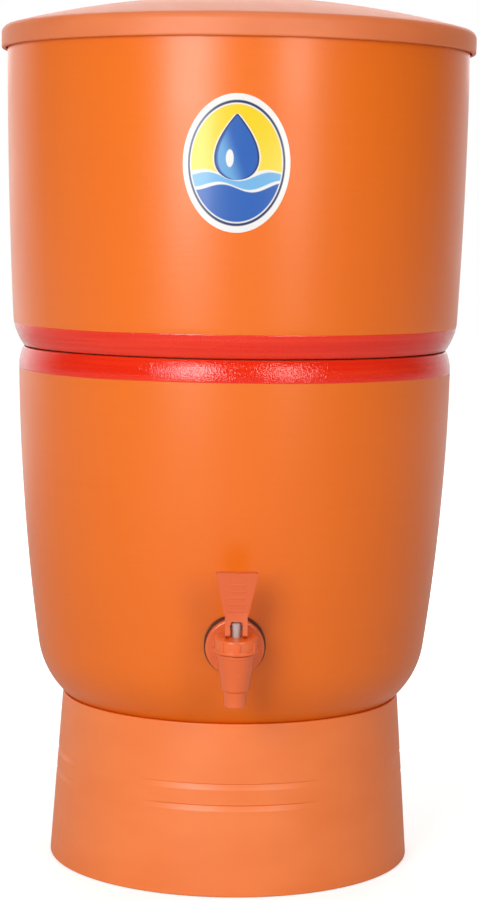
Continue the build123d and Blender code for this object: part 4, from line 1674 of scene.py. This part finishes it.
@dataclass
class Tap:
    """Tap body with its front gasket and cap nut, and the pieces inside the bowl."""

    place: TapPlace
    flange_radius: float = 15.9
    hub_radius: float = 8.4
    hub_rise: float = 1.6
    neck_radius: float = 5.2
    inlet_radius: float = 3.5
    flange_back_soften: float = 0.5
    flange_soften: float = 1.3
    gasket_back_soften: float = 0.5
    gasket_soften: float = 0.9
    thread_pitch: float = 1.8
    thread_depth: float = 0.55
    thread_start: float = 0.4
    thread_crest: tuple[float, float] = (0.45, 0.6)
    nozzle_bottom: float = -24.6
    nozzle_tip_radius: float = 5.8
    nozzle_top_radius: float = 6.4
    nozzle_top: float = -15.3
    nozzle_soften: float = 0.7
    nozzle_neck: float = 0.35
    nozzle_neck_half: float = 0.15
    outlet_radius: float = 4.0
    barrel_low_radius: float = 7.6
    barrel_top_radius: float = 10.2
    barrel_top: float = 5.4
    collar_radius: float = 10.8
    collar_height: float = 1.8
    collar_soften: float = 0.35
    seat_level: float = -9.0
    bore_radius: float = 6.6
    neck_outer: float = 9.4
    neck_top: float = 11.5
    cap_bottom: float = 6.05
    cap_top: float = 13.7
    cap_thickness: float = 2.0
    cap_radius: float = 11.7
    cap_lip_radius: float = 12.6
    cap_lip_height: float = 1.9
    rib_count: int = 8
    rib_width: float = 1.0
    rib_depth: float = 0.7
    rib_phase: float = 8.0
    rib_round: float = 0.25
    guide_radius: float = 2.78
    thread_gap: float = 0.05
    segments: int = 128
    barrel_segments: int = 96
    bore_segments: int = 64
    inlet_segments: int = 48

    def gasket(self) -> bpy.types.Object:
        """Build the dark washer that shows round the flange.

        Returns:
            The gasket.
        """
        back, front = self.place.front_face, -self.place.flange_thickness
        hole, rim = self.place.shank_radius + self.thread_gap, self.place.gasket_radius
        section = Outline(hole, back).line(rim, back, self.gasket_back_soften)
        section.line(rim, front, self.gasket_soften).line(hole, front).line(hole, back)
        washer = turned(section, self.segments).moved(self.place.shank).piece("flange_gasket")
        return finished(washer, "bowl", "dark_rubber", [Wear.BROWN_RUBBER], "tap_front_gasket")

    def shank_outline(self) -> Outline:
        """Give the shank, flange, hub and neck, from the shank's inner end outwards.

        Returns:
            The half section.
        """
        place = self.place
        root = place.shank_radius - self.thread_depth
        section = Outline(0, place.shank_end).line(root, place.shank_end)
        turns = int((place.rear_face - place.shank_end) / self.thread_pitch)
        section.thread(root, place.shank_radius, place.shank_end + self.thread_start,
                       self.thread_pitch, turns, self.thread_crest)
        section.line(place.shank_radius, -place.flange_thickness)
        section.line(self.flange_radius, -place.flange_thickness, self.flange_back_soften)
        section.line(self.flange_radius, 0, self.flange_soften)
        section.line(self.hub_radius + 0.8, 0, 0.6).line(self.hub_radius, self.hub_rise, 0.5)
        section.line(self.neck_radius + 0.6, self.hub_rise, 0.4)
        section.line(self.neck_radius, self.hub_rise + 1.0, 0.5)
        return section.line(self.neck_radius, place.valve_reach).line(0, place.valve_reach)

    def barrel_outline(self) -> Outline:
        """Give the nozzle, barrel, collar and threaded neck, from the nozzle's tip up.

        Returns:
            The half section.
        """
        collar_low = self.barrel_top - self.collar_height
        neck, half = self.nozzle_top_radius - self.nozzle_neck, self.nozzle_neck_half
        section = Outline(0, self.nozzle_bottom)
        section.line(self.nozzle_tip_radius, self.nozzle_bottom, self.nozzle_soften)
        section.line(self.nozzle_top_radius, self.nozzle_top - 3 * half)
        section.line(neck, self.nozzle_top - half).line(neck, self.nozzle_top + half)
        section.line(self.barrel_low_radius, self.nozzle_top + half, 2 * half)
        section.line(self.barrel_top_radius, collar_low, 0.25)
        section.line(self.collar_radius, collar_low, self.collar_soften)
        section.line(self.collar_radius, self.barrel_top, self.collar_soften)
        section.line(self.neck_outer, self.barrel_top, 0.2)
        return section.line(self.neck_outer, self.neck_top, 0.3).line(0, self.neck_top)

    def bore_outline(self) -> Outline:
        """Give the hollow of the valve chamber and the outlet.

        Returns:
            The half section.
        """
        section = Outline(0, self.nozzle_bottom - 1)
        section.line(self.outlet_radius + 0.5, self.nozzle_bottom - 1)
        section.line(self.outlet_radius + 0.4, self.nozzle_bottom)
        section.line(self.outlet_radius, self.nozzle_bottom + 0.5)
        section.line(self.outlet_radius, self.seat_level)
        section.line(self.bore_radius, self.seat_level)
        return section.line(self.bore_radius, self.neck_top + 1).line(0, self.neck_top + 1)

    def body(self) -> bpy.types.Object:
        """Build the tap's body and hollow it.

        Returns:
            The body.
        """
        place = self.place
        barrel = turned(self.barrel_outline(), self.barrel_segments).moved(place.valve)
        bore = turned(self.bore_outline(), self.bore_segments).moved(place.valve)
        inlet = rod(self.inlet_radius, place.shank_end - 1, place.valve_reach,
                    self.inlet_segments).moved(place.shank)
        shank = turned(self.shank_outline(), self.segments).moved(place.shank)
        body = worked(shank.piece("moulded_tap"), Joinery.FUSE, barrel)
        worked(body, Joinery.CUT, inlet, bore)
        return finished(body, "bowl", "tap_plastic", [Wear.TAP], "tap_body")

    def cap_outline(self) -> Outline:
        """Give the cap nut's half section, from the thread's foot round and back to it.

        Returns:
            The half section.
        """
        thread = self.neck_outer + self.thread_gap
        lip_top = self.cap_bottom + self.cap_lip_height
        section = Outline(thread, self.cap_bottom).line(self.cap_lip_radius, self.cap_bottom, 0.8)
        section.line(self.cap_lip_radius, lip_top, 0.8).line(self.cap_radius, lip_top, 0.3)
        section.line(self.cap_radius - 0.15, self.cap_top, 1.1)
        section.line(self.guide_radius, self.cap_top, 0.3)
        section.line(self.guide_radius, self.cap_top - self.cap_thickness)
        section.line(thread, self.cap_top - self.cap_thickness)
        return section.line(thread, self.cap_bottom)

    def cap_nut(self) -> bpy.types.Object:
        """Build the ribbed cap nut.

        Returns:
            The nut.
        """
        low, high = self.cap_bottom + self.cap_lip_height / 2, self.cap_top - 1.5
        half = self.rib_width / 2
        crest = self.cap_radius + self.rib_depth
        # a rib's section, as (x, z) of a slab that is stood on end along the valve axis
        shoulder = crest - self.rib_round
        web = [(self.cap_radius - 1, -half), (shoulder, -half), (crest, -half / 2),
               (crest, half / 2), (shoulder, half), (self.cap_radius - 1, half)]
        rib = slab(web, -low, -high).moved(Matrix.Rotation(-math.pi / 2, 4, "X"))
        ribs = ringed(rib, self.rib_count, math.radians(self.rib_phase - 90))
        cap = turned(self.cap_outline(), self.segments).moved(self.place.valve)
        nut = worked(cap.piece("ribbed_cap"), Joinery.FUSE, ribs.moved(self.place.valve))
        return finished(nut, "bowl", "tap_plastic", [Wear.TAP], "tap_cap_nut")

    def build(self) -> list[bpy.types.Object]:
        """Build the tap."""
        return [self.gasket(), self.body(), self.cap_nut(), carried("tap_lock_nut", Wear.TAP),
                carried("tap_rear_gasket", Wear.DARK_RUBBER)]


@dataclass
class Valve:
    """Stem with its seat cup, pin and closing spring."""

    place: TapPlace
    spring_radius: float = 4.1
    wire: float = 0.9
    turns: float = 6.0
    low: float = -1.95
    high: float = 11.15
    steps_a_turn: int = 40
    wire_sides: int = 12

    def spring(self) -> bpy.types.Object:
        """Build the closing spring.

        Returns:
            The spring.
        """
        steps = int(self.turns * self.steps_a_turn)
        points: list[Vector] = []
        for step in range(steps + 1):
            share = step / steps
            turn = 2 * math.pi * self.turns * share
            spoke = Vector((math.cos(turn), math.sin(turn), 0))
            middle = spoke * self.spring_radius + Vector((0, 0, self.low)).lerp(
                Vector((0, 0, self.high)), share)
            for side in range(self.wire_sides):
                angle = 2 * math.pi * side / self.wire_sides
                points.append(middle + (spoke * math.cos(angle)
                                        + Vector((0, 0, math.sin(angle)))) * self.wire / 2)
        faces: list[tuple[int, ...]] = []
        for step in range(steps):
            here = step * self.wire_sides
            for side in range(self.wire_sides):
                following = (side + 1) % self.wire_sides
                faces.append((here + side, here + following,
                              here + self.wire_sides + following, here + self.wire_sides + side))
        last = steps * self.wire_sides
        faces += [tuple(reversed(range(self.wire_sides))),
                  tuple(range(last, last + self.wire_sides))]
        coil = Shape(points, faces, [0] * len(faces)).moved(self.place.valve).piece("valve_spring")
        finished(coil, "bowl", "spring_steel", [Wear.WIRE], "tap_spring")
        travel = joint("stem_lift")["range_m"][1] / MM
        length = self.high - self.low + self.wire
        tuple(self.place.up)
        1 - travel / length
        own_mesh(coil)
        return coil

    def build(self) -> list[bpy.types.Object]:
        """Build the valve's pieces."""
        return [self.spring(), carried("tap_stem", Wear.STEM),
                carried("tap_seat_cup", Wear.RED_RUBBER), carried("lever_pin", Wear.PIN)]


@dataclass
class Lever:
    """Forked paddle on the stem's pin, with a cam heel on the cap nut."""

    place: TapPlace
    pin_radius: float = 1.25
    pin_above_cap: float = 4.5
    cam_lift: float = 2.5
    cam_clearance: float = 0.3
    cam_steps: int = 8
    tilt: float = 50.0
    stem_radius: float = 2.7
    fork_width: float = 11.7
    slot_width: float = 6.7
    fork_back: float = 3.2
    slot_top: float = 4.4
    slot_round: float = 1.0
    foot: float = 6.2
    top: float = 30.3
    foot_width: float = 12.2
    top_width: float = 22.4
    thickness: float = 4.0
    front: float = 2.4
    corner_round: float = 1.0
    ridges: int = 5
    ridge_pitch: float = 3.5
    ridge_width: float = 1.5
    ridge_rise: float = 0.14
    ridge_length: float = 9.0
    ridge_drop: float = 6.5
    edge_soften: float = 0.6
    corner_steps: int = 5
    slot_steps: int = 4
    ridge_steps: int = 3
    hole_segments: int = 32

    def heel(self) -> list[tuple[float, float]]:
        """Give the cam's points as (out, up) from the pin, from the rest pose's side.

        Returns:
            The points.
        """
        points = []
        for step in range(self.cam_steps + 1):
            turn = math.radians(self.tilt * step / self.cam_steps)
            height = self.pin_above_cap - self.cam_clearance + self.cam_lift * turn
            points.append((height * math.sin(turn) + self.cam_lift * math.cos(turn),
                           self.cam_lift * math.sin(turn) - height * math.cos(turn)))
        return points

    def fork(self) -> Shape:
        """Give the fork as one block, before its slot is cut.

        Returns:
            The block.
        """
        heel_end = self.foot + self.stem_radius
        side = self.heel() + [
            (self.front, heel_end), (self.front - 1.0, heel_end + self.stem_radius),
            (self.front - self.thickness, heel_end), (-self.fork_back, self.slot_top),
            (-self.fork_back, -self.pin_radius),
            (-self.pin_radius, self.cam_clearance - self.pin_above_cap)]
        half = self.fork_width / 2
        # drawn as (out, up), extruded along X: a quarter turn brings out to -Y
        turn = Matrix.Rotation(-math.pi / 2, 4, "Z")
        return slab(side, half, -half).moved(turn)

    def paddle(self) -> Shape:
        """Give the flat trapezoid with rounded upper corners.

        Returns:
            The plate.
        """
        outline = [(-self.foot_width / 2, self.foot), (self.foot_width / 2, self.foot)]
        lean = math.atan2((self.top_width - self.foot_width) / 2, self.top - self.foot)
        turn_left = math.pi / 2 + lean
        reach = self.corner_round / math.tan((math.pi - turn_left) / 2)
        middle = Vector((self.top_width / 2 - reach, self.top - self.corner_round))
        start = -lean
        arc = [middle + self.corner_round * Vector((math.cos(turn), math.sin(turn)))
               for turn in (start + turn_left * step / self.corner_steps
                            for step in range(self.corner_steps + 1))]
        outline += [(point.x, point.y) for point in arc]
        outline += [(-point.x, point.y) for point in reversed(arc)]
        return slab(outline, -self.front + self.thickness, -self.front)

    def ridge(self, level: float) -> Shape:
        """Give one low ridge across the paddle's front.

        Args:
            level: The height of its middle above the pin.

        Returns:
            The ridge.
        """
        half = self.ridge_length / 2
        bend = (self.ridge_width ** 2 / 4 + self.ridge_rise ** 2) / (2 * self.ridge_rise)
        spread = math.asin(self.ridge_width / 2 / bend)
        middle = self.front - (bend - self.ridge_rise)
        crest = [(middle + bend * math.cos(turn), level + bend * math.sin(turn))
                 for turn in (spread * step / self.ridge_steps
                              for step in range(-self.ridge_steps, self.ridge_steps + 1))]
        buried = [(self.front - 0.5, level + self.ridge_width / 2),
                  (self.front - 0.5, level - self.ridge_width / 2)]
        return slab(crest + buried, half, -half).moved(Matrix.Rotation(-math.pi / 2, 4, "Z"))

    def slot(self) -> Shape:
        """Give the gap between the fork's legs, with rounded upper corners.

        Returns:
            The shape that cuts the gap.
        """
        half, low = self.slot_width / 2, -self.pin_above_cap - self.cam_lift
        outline = [(-half, low), (half, low)]
        centre_x, centre_z = half - self.slot_round, self.slot_top - self.slot_round
        for step in range(self.slot_steps + 1):
            turn = math.pi / 2 * step / self.slot_steps
            outline.append((centre_x + self.slot_round * math.cos(turn),
                            centre_z + self.slot_round * math.sin(turn)))
        outline += [(-x, z) for x, z in reversed(outline[2:])]
        return slab(outline, 3 * self.fork_width, -3 * self.fork_width)

    def build(self) -> list[bpy.types.Object]:
        """Build the lever.

        Returns:
            The lever.
        """
        lever = worked(self.fork().piece("paddle_lever"), Joinery.FUSE, self.paddle())
        softened(worked(lever, Joinery.CUT, self.slot()), self.edge_soften)
        worked(lever, Joinery.FUSE, joined(*(
            self.ridge(self.top - self.ridge_drop - step * self.ridge_pitch)
            for step in range(self.ridges))))
        hole = rod(self.pin_radius, -self.fork_width, self.fork_width, self.hole_segments)
        worked(lever, Joinery.CUT, hole.moved(Matrix.Rotation(math.pi / 2, 4, "Y")))
        lever.data.transform(Matrix.Diagonal((1 / MM, 1 / MM, 1 / MM, 1)))
        lever.data.transform(self.place.lever)
        lever.data.transform(Matrix.Diagonal((MM, MM, MM, 1)))
        return [finished(lever, "lever", "tap_plastic", [Wear.LEVER], "tap_lever")]


# ---------------------------------------------------------------- filter candle and float


@dataclass
class Candle:
    """Ceramic candle in its plastic cup, clamped through the upper chamber's floor."""

    radius: float = 26.0
    wall: float = 7.0
    cup_floor: float = 4.0
    cup_height: float = 12.0
    cup_fit: float = 0.15
    stem_radius: float = 5.0
    stem_bore: float = 2.0
    thread_pitch: float = 1.6
    thread_depth: float = 0.4
    thread_start: float = 0.6
    thread_crest: tuple[float, ...] = (0.5,)
    wall_pitch: float = 6.0
    segments: int = 96

    def __post_init__(self) -> None:
        """Take the heights and the cup's radius from the frame."""
        low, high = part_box("candle_base")
        shell_low, shell_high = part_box("candle_shell")
        self.cup_radius, self.stem_end = high.x / MM, low.z / MM
        self.seat = high.z / MM - self.cup_height
        self.bottom, self.top = shell_low.z / MM, shell_high.z / MM

    def shell(self) -> bpy.types.Object:
        """Build the ceramic dome.

        Returns:
            The shell.
        """
        inner = self.radius - self.wall
        section = Outline(inner, self.bottom).line(self.radius, self.bottom, 0.8)
        inside = Outline(inner, self.bottom)
        for wall, reach in ((section, self.radius), (inside, inner)):
            spring = self.top - self.radius
            wall.line(reach, spring, pitch=self.wall_pitch).turn(reach, 90)
            wall.path[-1].point.x = 0.0
        hollow = turned(inside, self.segments)
        hollow.faces = [tuple(reversed(face)) for face in hollow.faces]
        shell = joined(turned(section, self.segments), hollow).piece("ceramic_candle")
        return finished(shell, "upper", "white_ceramic", [Wear.CERAMIC], "candle_shell")

    def cup(self) -> bpy.types.Object:
        """Build the cup with its threaded stem.

        Returns:
            The cup.
        """
        root = self.stem_radius - self.thread_depth
        section = Outline(self.stem_bore, self.stem_end).line(root, self.stem_end, 0.3)
        turns = int((self.seat - self.stem_end - 4) / self.thread_pitch)
        start = self.stem_end + self.thread_start
        section.thread(root, self.stem_radius, start, self.thread_pitch, turns,
                       self.thread_crest)
        section.line(root, start + turns * self.thread_pitch)
        section.line(root, self.seat).line(self.cup_radius, self.seat, 1.5)
        section.line(self.cup_radius, self.seat + self.cup_height, 0.8)
        lining = self.radius + self.cup_fit
        section.line(lining, self.seat + self.cup_height, 0.5)
        section.line(lining, self.seat + self.cup_floor)
        section.line(self.stem_bore, self.seat + self.cup_floor)
        section.line(self.stem_bore, self.stem_end)
        cup = turned(section, self.segments).piece("candle_cup")
        return finished(cup, "upper", "blue_plastic", [Wear.BLUE], "candle_base")

    def build(self) -> list[bpy.types.Object]:
        """Build the candle.

        Returns:
            The candle's pieces.
        """
        return [self.shell(), self.cup(), carried("candle_carbon", Wear.CARBON),
                carried("candle_upper_washer", Wear.DARK_RUBBER),
                carried("candle_lower_washer", Wear.DARK_RUBBER),
                carried("candle_wing_nut", Wear.BLUE)]


@dataclass
class FloatValve:
    """Float valve on the candle's stem, with its arm and float."""

    radius: float = 19.0
    height: float = 27.0
    soften: float = 5.0
    arm_reach: float = 62.0
    arm_height: float = 247.2
    drop: float = 24.0
    segments: int = 96

    def __post_init__(self) -> None:
        """Take the hinge from the frame."""
        self.hinge = Vector(joint("float_swing")["pos_m"]) / MM

    def bulb(self) -> bpy.types.Object:
        """Build the float, hanging on its arm.

        Returns:
            The float.
        """
        low, high = self.arm_height - self.height, self.arm_height
        section = Outline(0, low).line(self.radius, low, self.soften)
        section.line(self.radius, high, self.soften).line(0, high)
        drop = Matrix.Rotation(math.radians(self.drop), 4, "Y")
        place = (Matrix.Translation(self.hinge) @ drop @ Matrix.Translation(-self.hinge)
                 @ Matrix.Translation((self.arm_reach, 0, 0)))
        bulb = turned(section, self.segments).moved(place).piece("float_bulb")
        return finished(bulb, "float_lever", "blue_plastic", [Wear.BLUE], "float")

    def build(self) -> list[bpy.types.Object]:
        """Build the float valve.

        Returns:
            The float valve's pieces.
        """
        return [self.bulb(), carried("float_valve_body", Wear.WHITE),
                carried("float_hinge_pin", Wear.PIN), carried("float_arm", Wear.WHITE),
                carried("float_valve_pad", Wear.RED_RUBBER)]


# ---------------------------------------------------------------- studio


@dataclass
class Softbox:
    """A soft lamp, placed by its bearing from the object as seen from the camera's side."""

    name: str
    bearing: float
    elevation: float
    distance: float
    width: float
    height: float
    radiance: float
    glow: Colour = (1.0, 1.0, 1.0)
    mirrored: bool = True

    def build(self, target: Vector) -> None:
        """Hang the lamp and point it at a target, in metres.

        Args:
            target: The point that the lamp faces.
        """
        turn, rise = math.radians(self.bearing), math.radians(self.elevation)
        out = Vector((math.sin(turn) * math.cos(rise), -math.cos(turn) * math.cos(rise),
                      math.sin(rise)))
        data = bpy.data.lights.new(self.name, "AREA")
        data.shape = "RECTANGLE"
        data.size, data.size_y = self.width, self.height
        data.energy = self.radiance * math.pi * self.width * self.height
        data.color = self.glow
        lamp = bpy.data.objects.new(self.name, data)
        lamp.location = target + out * self.distance
        lamp.rotation_euler = (-out).to_track_quat("-Z", "Y").to_euler()
        lamp.visible_camera = False
        lamp.visible_glossy = self.mirrored
        bpy.context.scene.collection.objects.link(lamp)


@dataclass
class Studio:
    """White surroundings, soft lamps, a pale floor and the camera. Distances in metres."""

    ambient: float = 0.25
    warm: Colour = (1.0, 0.90, 0.84)
    front_sheen: float = 0.07
    back_sheen: float = 1.0
    floor_size: float = 12.0
    floor_lift: float = 0.62
    floor_gap: float = 0.0003
    floor_tone: Colour = (0.58, 0.58, 0.58)
    floor_roughness: float = 0.8
    camera_distance: float = 1.3596
    camera_height: float = 0.3731
    camera_pitch: float = 0.1007
    camera_roll: float = 0.0144
    camera_yaw: float = 0.0026
    orbit: float = -1.1
    lens: float = 94.05
    sensor: float = 36.0
    sight: float = 100.0

    def world(self) -> None:
        """Light the scene evenly, and show white to the camera and to gloss behind."""
        world = bpy.data.worlds.new("white_surroundings")
        bpy.context.scene.world = world
        world.use_nodes = True
        bench = Bench(world.node_tree)
        path = bench.make("ShaderNodeLightPath")
        seen = Signal(bench, path.outputs["Is Camera Ray"])
        clear = Signal(bench, path.outputs["Is Transmission Ray"])
        gloss = Signal(bench, path.outputs["Is Glossy Ray"])
        way = bench.make("ShaderNodeTexCoord").outputs["Generated"]
        parts = bench.make("ShaderNodeSeparateXYZ", None, {0: way}).outputs
        behind = bench.rise(Signal(bench, parts[1]), 0.35, 0.95)
        sheen = behind * (self.back_sheen - self.front_sheen) + self.front_sheen
        shown = bench.maths("MAXIMUM", seen, clear)
        lit = gloss * sheen + (1 - gloss) * self.ambient
        strength = shown + (1 - shown) * lit
        plain = bench.maths("MAXIMUM", shown, gloss)
        glow = bench.make("ShaderNodeBackground", None, {
            "Color": bench.blend(plain, self.warm, (1.0, 1.0, 1.0)), "Strength": strength})
        bench.make("ShaderNodeOutputWorld", None, {"Surface": glow.outputs[0]})

    def floor(self) -> None:
        """Lay a pale floor that meets the white surroundings and keeps the shadow."""
        half = self.floor_size / 2
        mesh = bpy.data.meshes.new("studio_floor")
        mesh.from_pydata([(-half, -half, 0), (half, -half, 0), (half, half, 0), (-half, half, 0)],
                         [], [(0, 1, 2, 3)])
        floor = bpy.data.objects.new("studio_floor", mesh)
        floor.location.z = -self.floor_gap
        bpy.context.scene.collection.objects.link(floor)
        material = bpy.data.materials.new("floor_paint")
        material.use_nodes = True
        bench = Bench(material.node_tree)
        spot, east, north, _ = bench.place()
        reach = (east * east + north * north) ** 0.5
        path = bench.make("ShaderNodeLightPath")
        lift = bench.rise(reach, 0.18, 0.75) * (1 - self.floor_lift) + self.floor_lift
        seen = Signal(bench, path.outputs["Is Camera Ray"]) * lift
        gloss = Signal(bench, path.outputs["Is Glossy Ray"]) * bench.rise(reach, 0.6, 2.5) * 0.6
        glow = bench.blend(bench.maths("MAXIMUM", seen, gloss), (0.0, 0.0, 0.0), (1.0, 1.0, 1.0))
        tooth = bench.noise(spot, 60, 3.0)
        shader = bench.make("ShaderNodeBsdfPrincipled", None, {
            "Base Color": opaque(self.floor_tone),
            "Roughness": self.floor_roughness + tooth * 0.1,
            "Specular IOR Level": 0.2, "Emission Color": glow, "Emission Strength": 1.0})
        bench.make("ShaderNodeOutputMaterial", None, {"Surface": shader.outputs[0]})
        mesh.materials.append(material)

    def camera(self) -> None:
        """Stand the camera in front of the tap, a little above the middle."""
        yaw, pitch, roll = self.camera_yaw, self.camera_pitch, self.camera_roll
        right = Vector((math.cos(yaw), -math.sin(yaw), 0))
        ahead = Vector((math.sin(yaw) * math.cos(pitch), math.cos(yaw) * math.cos(pitch),
                        -math.sin(pitch)))
        up = right.cross(ahead)
        rolled_right = right * math.cos(roll) + up * math.sin(roll)
        rolled_up = up * math.cos(roll) - right * math.sin(roll)
        turn = Matrix((rolled_right, rolled_up, -ahead)).transposed().to_4x4()
        stand = Matrix.Translation((0, -self.camera_distance, self.camera_height)) @ turn
        data = bpy.data.cameras.new("front_camera")
        data.sensor_fit = "VERTICAL"
        data.sensor_height = self.sensor
        data.lens = self.lens
        data.clip_end = self.sight
        camera = bpy.data.objects.new("front_camera", data)
        camera.matrix_world = Matrix.Rotation(math.radians(self.orbit), 4, "Z") @ stand
        bpy.context.scene.collection.objects.link(camera)
        bpy.context.scene.camera = camera

    def build(self) -> None:
        """Set the studio up."""
        self.world()
        self.floor()
        self.camera()
        target = (Vector(CAD_BOX[0]) + Vector(CAD_BOX[1])) / 2
        lamps = [Softbox("left_softbox", -23.0, 16.0, 1.4, 0.48, 0.70, 9.6),
                 Softbox("right_softbox", 26.0, 15.5, 1.4, 0.32, 0.66, 7.2, (1.0, 0.94, 0.90)),
                 Softbox("left_wall", -90.0, 4.0, 1.8, 1.40, 1.50, 0.85, mirrored=False),
                 Softbox("left_rim", -138.0, 8.0, 1.8, 1.40, 1.70, 0.50),
                 Softbox("overhead", 0.0, 82.0, 1.5, 1.30, 1.30, 0.85),
                 Softbox("rear_wall", 178.0, 28.0, 2.0, 2.00, 1.40, 1.9),
                 Softbox("right_rear_wall", 120.0, 30.0, 2.0, 1.30, 1.30, 0.6, mirrored=False)]
        for lamp in lamps:
            lamp.build(target)
        bpy.context.scene.view_settings.view_transform = "Standard"


def main() -> None:
    """Build every sub-assembly in order and report its pieces."""
    logging.basicConfig(level=logging.INFO, format="%(name)s %(message)s")
    place = TapPlace()
    chamber = ClayTop()
    assemblies = {"stand": Stand().build(), "bowl": ClayBowl().build(place),
                  "chamber": chamber.build(), "sticker": FrontSticker(chamber).build(),
                  "lid": Lid().build(), "tap": Tap(place).build(),
                  "valve": Valve(place).build(), "lever": Lever(place).build(),
                  "candle": Candle().build(), "float": FloatValve().build()}
    Studio().build()
    for name, pieces in assemblies.items():
        LOG.info("%s: %s", name, ", ".join(piece.name for piece in pieces))


if __name__ == "__main__":
    main()
